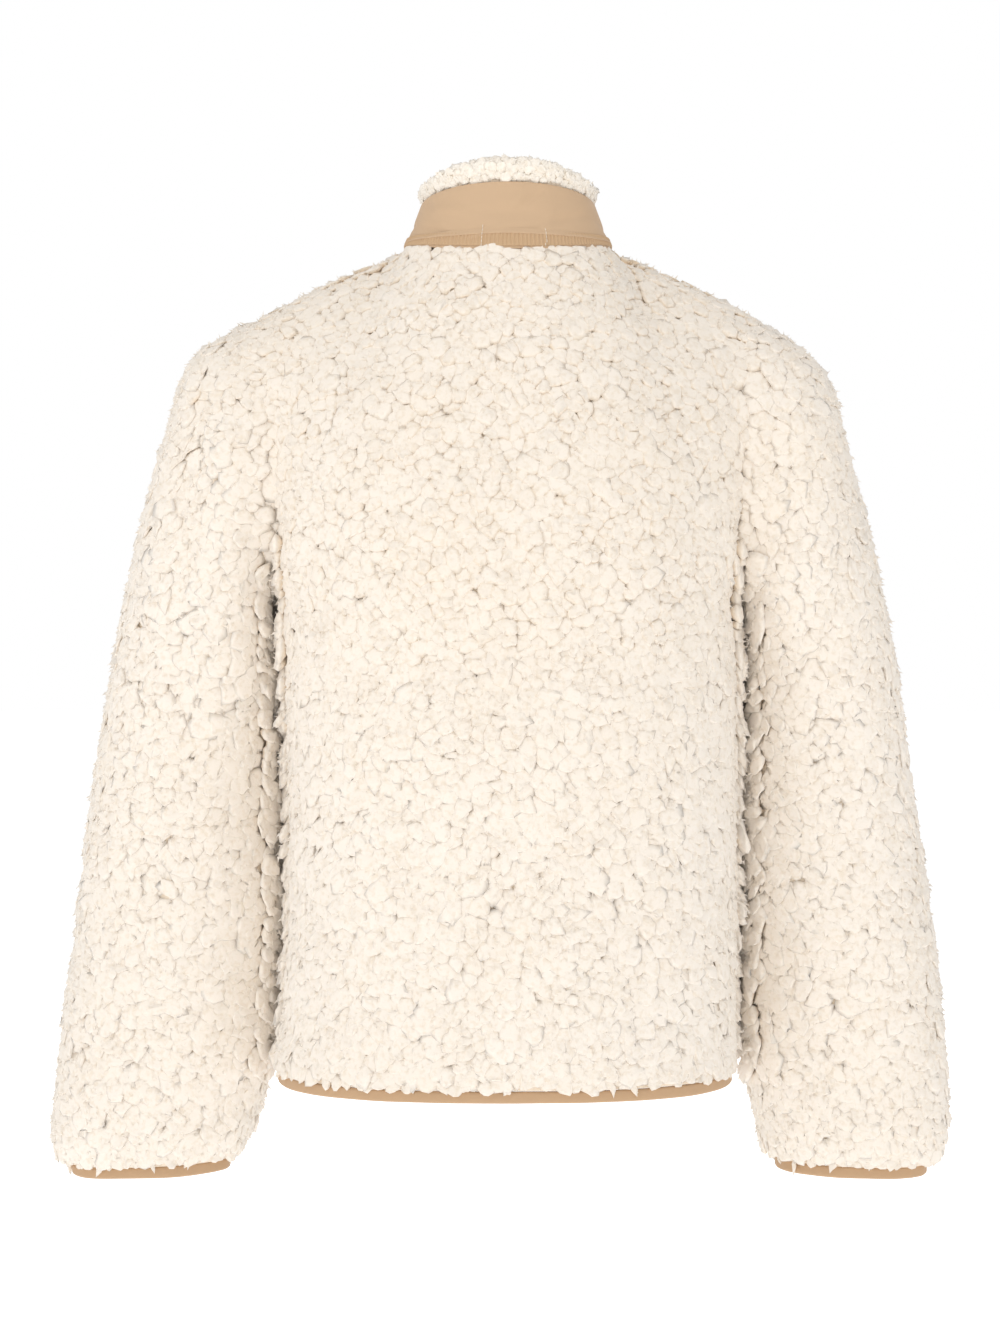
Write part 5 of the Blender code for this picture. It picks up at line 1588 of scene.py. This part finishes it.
# %% Tack stitches
THREAD_RADIUS, THREAD_SIDES = 0.00026, 6
TACKS = ((0.0201, 0.0008, 0.0196), (-0.0286, 0.0008, 0.0170))  # x, lowest and highest height
STITCH, STITCH_RISE, ROW_WOBBLE = 0.0031, 0.00065, 0.0004
GAP_SHARE, STITCH_SHARE, STITCH_POINTS = 0.06, 0.88, 6  # shares of a stitch's length
# how far the thread lies off the collar, on the lip and above it, and how deep its ends go in
ON_LIP, ABOVE_LIP, SUNK = 0.00175, 0.0008, 0.0006
LIP_TOP, FINE_COLUMNS = 0.0150, 400


def tube(points, radius, sides):
    """Points and faces of a closed tube with tapered ends along a run of points."""
    points = np.asarray(points, float)
    count = len(points)
    along = np.gradient(points, axis=0)
    along /= np.linalg.norm(along, axis=1, keepdims=True)
    first = np.cross(along, (0.13, 0.31, 0.94))
    first /= np.linalg.norm(first, axis=1, keepdims=True)
    second = np.cross(along, first)
    turns = np.linspace(0, 2 * np.pi, sides, endpoint=False)[None, :, None]
    ring = np.cos(turns) * first[:, None] + np.sin(turns) * second[:, None]
    sizes = np.full(count, radius)
    sizes[[0, -1]] *= 0.45
    rings = points[:, None] + ring * sizes[:, None, None]
    index = np.arange(count * sides).reshape(count, sides)
    index = np.concatenate([index, index[:, :1]], axis=1)
    walls = quads(index[:-1, :-1], index[:-1, 1:], index[1:, 1:], index[1:, :-1])
    start, end = count * sides, count * sides + 1
    caps = [(start, after, before) for before, after in zip(index[0], index[0, 1:])]
    caps += [(end, before, after) for before, after in zip(index[-1], index[-1, 1:])]
    return (np.vstack([rings.reshape(-1, 3), points[:1], points[-1:]]),
            np.concatenate([walls[:, [0, 1, 2]], walls[:, [0, 2, 3]], caps]))


def joined(parts):
    """Several closed forms as the points and faces of one mesh."""
    shifts = np.cumsum([0] + [len(points) for points, _ in parts[:-1]])
    return (np.vstack([points for points, _ in parts]),
            np.concatenate([faces + shift for (_, faces), shift in zip(parts, shifts)]))


stitches = []
for x, low, high in TACKS:
    count = int((high - low) / STITCH)
    for k in range(count):
        arch = []
        for step in np.linspace(0, 1, STITCH_POINTS):
            height = low + (k + GAP_SHARE + STITCH_SHARE * step) * (high - low) / count
            line, way, _ = along_collar(height, FINE_COLUMNS)
            wanted_x = x + ROW_WOBBLE * math.sin(4 * height / high + x * 90)
            near = np.argmin(np.abs(line[:, 0] - wanted_x) + (line[:, 1] < 0))
            lift = (ON_LIP if height < LIP_TOP else ABOVE_LIP) - SUNK + STITCH_RISE * math.sin(math.pi * step)
            arch.append(line[near] + way[near] * lift)
        stitches.append(tube(arch, THREAD_RADIUS, THREAD_SIDES))
tacks = put("tack_stitches", *joined(stitches), [thread_finish])
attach(tacks, "jacket")
print("stitches:", len(stitches))

# %% [markdown]
# ## The front zip
# The zip can't be seen in the photograph, so it is a plain moulded one. It follows the line in
# which the two fronts meet, which the solids have too. A tape moved along it by arc length stays
# square to the cloth, where straight columns would cut into the chest.

# %% The front line
CHAIN_TOP_Z, SLIDER_LENGTH = -0.0011, 0.0110
BOX_TOP, BESIDE_BOX = 0.0105, 0.0350  # distances from the hem over which the zip leaves the box
front_run = np.vstack([coarse["front_left"][:, 0], coarse["collar"][1:, 0]]) - (FRONT_EDGE_X, 0.0, 0.0)
front_run = np.vstack([front_run[0] - (0.0, 0.0, BINDING_DROP), front_run])
run_along = np.gradient(front_run, axis=0)
run_along /= np.linalg.norm(run_along, axis=1, keepdims=True)
front_way = np.stack([np.zeros(len(front_run)), -run_along[:, 2], run_along[:, 1]], axis=1)
front_at = arc(front_run)


def on_front(at, outer=0.0):
    """Points on the front line and the way out there, at distances along it.

    Near the hem the line goes over to the box, except the tapes' outer edges, where outer is 1."""
    line, way = at_distance(at, front_at, front_run), at_distance(at, front_at, front_way)
    line[..., 0] *= outer + (1 - outer) * smooth(at, BOX_TOP, BESIDE_BOX)
    return line, way


print("zip, from the hem to the top of the collar:", round(float(front_at[-1]), 4), "m")

# %% [markdown]
# The teeth alternate from the two tapes and meet in the middle. One tooth is a short bar with a
# wider head and softened front edges. All teeth are one mesh, since 500 objects would be slow.

# %% Moulded teeth
TOOTH_PITCH, TOOTH_DEPTHS = 0.00135, (0.0060, 0.0088)
TOOTH_OUTLINE = (  # x from the tape's edge across the middle, share of half a pitch
    (0.00185, 0.55), (0.0004, 0.50), (-0.0002, 0.86), (-0.0008, 0.86), (-0.0011, 0.35),
    (-0.0011, -0.35), (-0.0008, -0.86), (-0.0002, -0.86), (0.0004, -0.50), (0.00185, -0.55))
TOOTH_LEVELS = ((0.0, 0.80), (0.14, 1.0), (1.0, 1.0))  # share of the depth, size of the outline


def teeth():
    """Points and faces of every tooth, from the box up to the slider."""
    first = np.interp(coarse["front_left"][0, 0, 2] - BINDING_DROP + SLIDER_LENGTH, front_run[:, 2], front_at)
    last = np.interp(CHAIN_TOP_Z, front_run[:, 2], front_at)
    places = np.arange(first + TOOTH_PITCH / 2, last - TOOTH_PITCH / 2, TOOTH_PITCH)
    outline = np.array(TOOTH_OUTLINE)
    middle = np.array([outline[:, 0].mean(), 0.0])
    size = len(outline)
    faces = []
    for k in range(size):
        n = (k + 1) % size
        for low in (0, size):
            faces += [(low + k, low + n, low + size + n), (low + k, low + size + n, low + size + k)]
        faces += [(3 * size, n, k), (3 * size + 1, 2 * size + k, 2 * size + n)]
    faces = np.array(faces)
    parts = []
    for number, at in enumerate(places):
        side = 1 if number % 2 else -1
        line, way = on_front(at)
        along = np.array([0.0, way[2], -way[1]])
        rings = []
        for depth_share, grow in TOOTH_LEVELS:
            flat = middle + (outline - middle) * grow
            depth = TOOTH_DEPTHS[0] + depth_share * (TOOTH_DEPTHS[1] - TOOTH_DEPTHS[0])
            rings.append(line - way * depth + np.outer(flat[:, 0] * side, (1, 0, 0))
                         + np.outer(flat[:, 1] * TOOTH_PITCH, along))
        points = np.vstack([*rings, rings[0].mean(0), rings[-1].mean(0)])
        parts.append((points, faces if side < 0 else faces[:, ::-1]))
    return parts


tooth_parts = teeth()
moulded, tree, shader = blank("moulded_teeth")
grain = noise(tree, object_coords(tree), 900.0, 3.0, 0.6)
feed(tree, shader.inputs["Base Color"], mixed(tree, grain, (0.50, 0.36, 0.23), (0.60, 0.45, 0.30)))
feed(tree, shader.inputs["Roughness"], maths(tree, "MULTIPLY_ADD", grain, 0.18, 0.34))
feed(tree, shader.inputs["Coat Weight"], 0.1)
zip_teeth = put("zip_teeth", *joined(tooth_parts), [moulded])
zip_teeth.data.set_sharp_from_angle(angle=math.radians(35))
stands_for(zip_teeth, "zip_chain")
print("teeth:", len(tooth_parts))

# %% [markdown]
# Each tape is a narrow strip with a corded edge that carries the teeth, and faint ribs beyond
# it. The ribs are columns of the grid at slightly different depths.

# %% Zip tapes
TAPE_PROFILE = (  # x, depth
    (0.00190, 0.0070), (0.00215, 0.0064), (0.00260, 0.0064), (0.00290, 0.0071), (0.00330, 0.0073),
    (0.00370, 0.0069), (0.00410, 0.0073), (0.00470, 0.0069), (0.00530, 0.0073), (0.00600, 0.0070),
    (0.00650, 0.0073), (0.00700, 0.0072))
TAPE_BACK_DEPTH, TAPE_EDGE, TAPE_WIDTH, ZIP_ROWS = 0.0084, 0.0019, 0.0051, 190
zip_rows = np.linspace(0.0, front_at[-1], ZIP_ROWS)
for side, label in ((1, "left"), (-1, "right")):
    profile = TAPE_PROFILE if side < 0 else TAPE_PROFILE[::-1]
    front, behind = [], []
    for x, depth in profile:
        line, way = on_front(zip_rows, (x - TAPE_EDGE) / TAPE_WIDTH)
        shift = np.array([side * x, 0.0, 0.0])
        front.append(line - way * depth + shift)
        behind.append(line - way * TAPE_BACK_DEPTH + shift)
    strips = [np.stack(part, axis=1)[:, ::-1] for part in (front, behind)]
    made = shell("zip_tape_woven_" + label, *strips, tape_finish)
    stands_for(made, "zip_tape_" + label)
    print(made.name, len(made.data.polygons), "faces")

# %% [markdown]
# The slider, its pull and the box at the foot of the zip are hard and already have their
# shape in the solid model. They keep their meshes and get satin metal with fine streaks.

# %% Satin metal on the solid parts
def build_metal():
    made, tree, shader = blank("satin_metal")
    coords = object_coords(tree)
    stretch = tree.nodes.new("ShaderNodeMapping")
    stretch.inputs["Scale"].default_value = (1.0, 1.0, 0.08)
    feed(tree, stretch.inputs["Vector"], coords)
    streaks = noise(tree, stretch.outputs["Vector"], 5000.0, 3.0, 0.6)
    rubbed = noise(tree, coords, 320.0)
    feed(tree, shader.inputs["Base Color"], mixed(tree, rubbed, (0.54, 0.47, 0.38), (0.70, 0.64, 0.55)))
    feed(tree, shader.inputs["Roughness"], maths(tree, "MULTIPLY_ADD", streaks, 0.22, 0.22))
    feed(tree, shader.inputs["Metallic"], 1.0)
    bumped(tree, shader, streaks, 0.15, 0.00005)
    return made


satin_metal = build_metal()
for node_name in ("zip_slider", "zip_pull", "zip_box"):
    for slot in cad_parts[node_name].material_slots:
        slot.material = satin_metal
    print(node_name, "in satin metal")

# %% [markdown]

# %% [markdown]
# ## Camera, floor and light
# The photograph was taken level, from straight behind, on white. The stage repeats that.

# %% Camera
CAMERA_PLACE = (0.0064, 2.1, -0.333)
PHOTO_HEIGHT, METRES_PER_PIXEL, SENSOR = 1334, 0.0008, 36.0
camera = bpy.data.objects.new("camera", bpy.data.cameras.new("camera"))
bpy.context.scene.collection.objects.link(camera)
camera.location = CAMERA_PLACE
camera.rotation_euler = (math.radians(90), 0, math.radians(180))
camera.data.sensor_fit = "VERTICAL"
camera.data.sensor_height = SENSOR
camera.data.lens = SENSOR * CAMERA_PLACE[1] / (PHOTO_HEIGHT * METRES_PER_PIXEL)
bpy.context.scene.camera = camera
print("lens:", round(camera.data.lens, 2), "mm")

# %% [markdown]
# The floor lies well below the jacket. It glows a little, and the world is seen brighter than it
# shines, so that both stay white. Broad lights all round keep the shadows in the pile soft.

# %% Floor, world and lights
FLOOR_Z, FLOOR_REACH, WHITE = -1.05, 40.0, (1.0, 1.0, 1.0)
WORLD_LIGHT, WORLD_SEEN = 0.50, 1.0
LIGHTS = {  # place, what it shines at, width and height, power
    "top_light": ((0.5, 1.4, 2.4), (0, 0, -0.3), (2.4, 1.6), 23.0),
    "left_light": ((2.6, 1.8, 0.6), (0, 0, -0.3), (1.6, 2.2), 10.0),
    "right_light": ((-2.6, 1.6, 0.4), (0, 0, -0.4), (1.6, 2.2), 6.5),
    "back_light": ((0.4, 3.4, 0.1), (0, 0, -0.35), (2.8, 2.4), 17.0),
    "front_light": ((-0.4, -3.4, 0.4), (0, 0, -0.35), (2.8, 2.4), 26.0)}
pale, tree, shader = blank("pale_floor")
for title, value in (("Base Color", (0.93, 0.93, 0.93)), ("Emission Color", WHITE),
                     ("Emission Strength", 0.60), ("Roughness", 0.9), ("Specular IOR Level", 0.0)):
    feed(tree, shader.inputs[title], value)
floor = put("floor", [(x * FLOOR_REACH, y * FLOOR_REACH, FLOOR_Z)
                      for x, y in ((-1, -1), (1, -1), (1, 1), (-1, 1))], [(0, 1, 2, 3)], [pale])

world = bpy.context.scene.world = bpy.data.worlds.new("studio")
world.use_nodes = True
tree = world.node_tree
background = tree.nodes["Background"]
seen = tree.nodes.new("ShaderNodeLightPath").outputs["Is Camera Ray"]
feed(tree, background.inputs["Color"], WHITE)
feed(tree, background.inputs["Strength"],
     maths(tree, "MULTIPLY_ADD", seen, WORLD_SEEN - WORLD_LIGHT, WORLD_LIGHT))

for name, (place, target, size, power) in LIGHTS.items():
    lamp = bpy.data.lights.new(name, "AREA")
    lamp.shape = "RECTANGLE"
    lamp.size, lamp.size_y = size
    lamp.energy = power
    light = bpy.data.objects.new(name, lamp)
    bpy.context.scene.collection.objects.link(light)
    light.location = place
    aim = np.subtract(target, place)
    light.rotation_euler = (math.atan2(math.hypot(aim[0], aim[1]), -aim[2]), 0.0, math.atan2(-aim[0], aim[1]))
bpy.context.scene.view_settings.view_transform = "Standard"
print("stage ready")
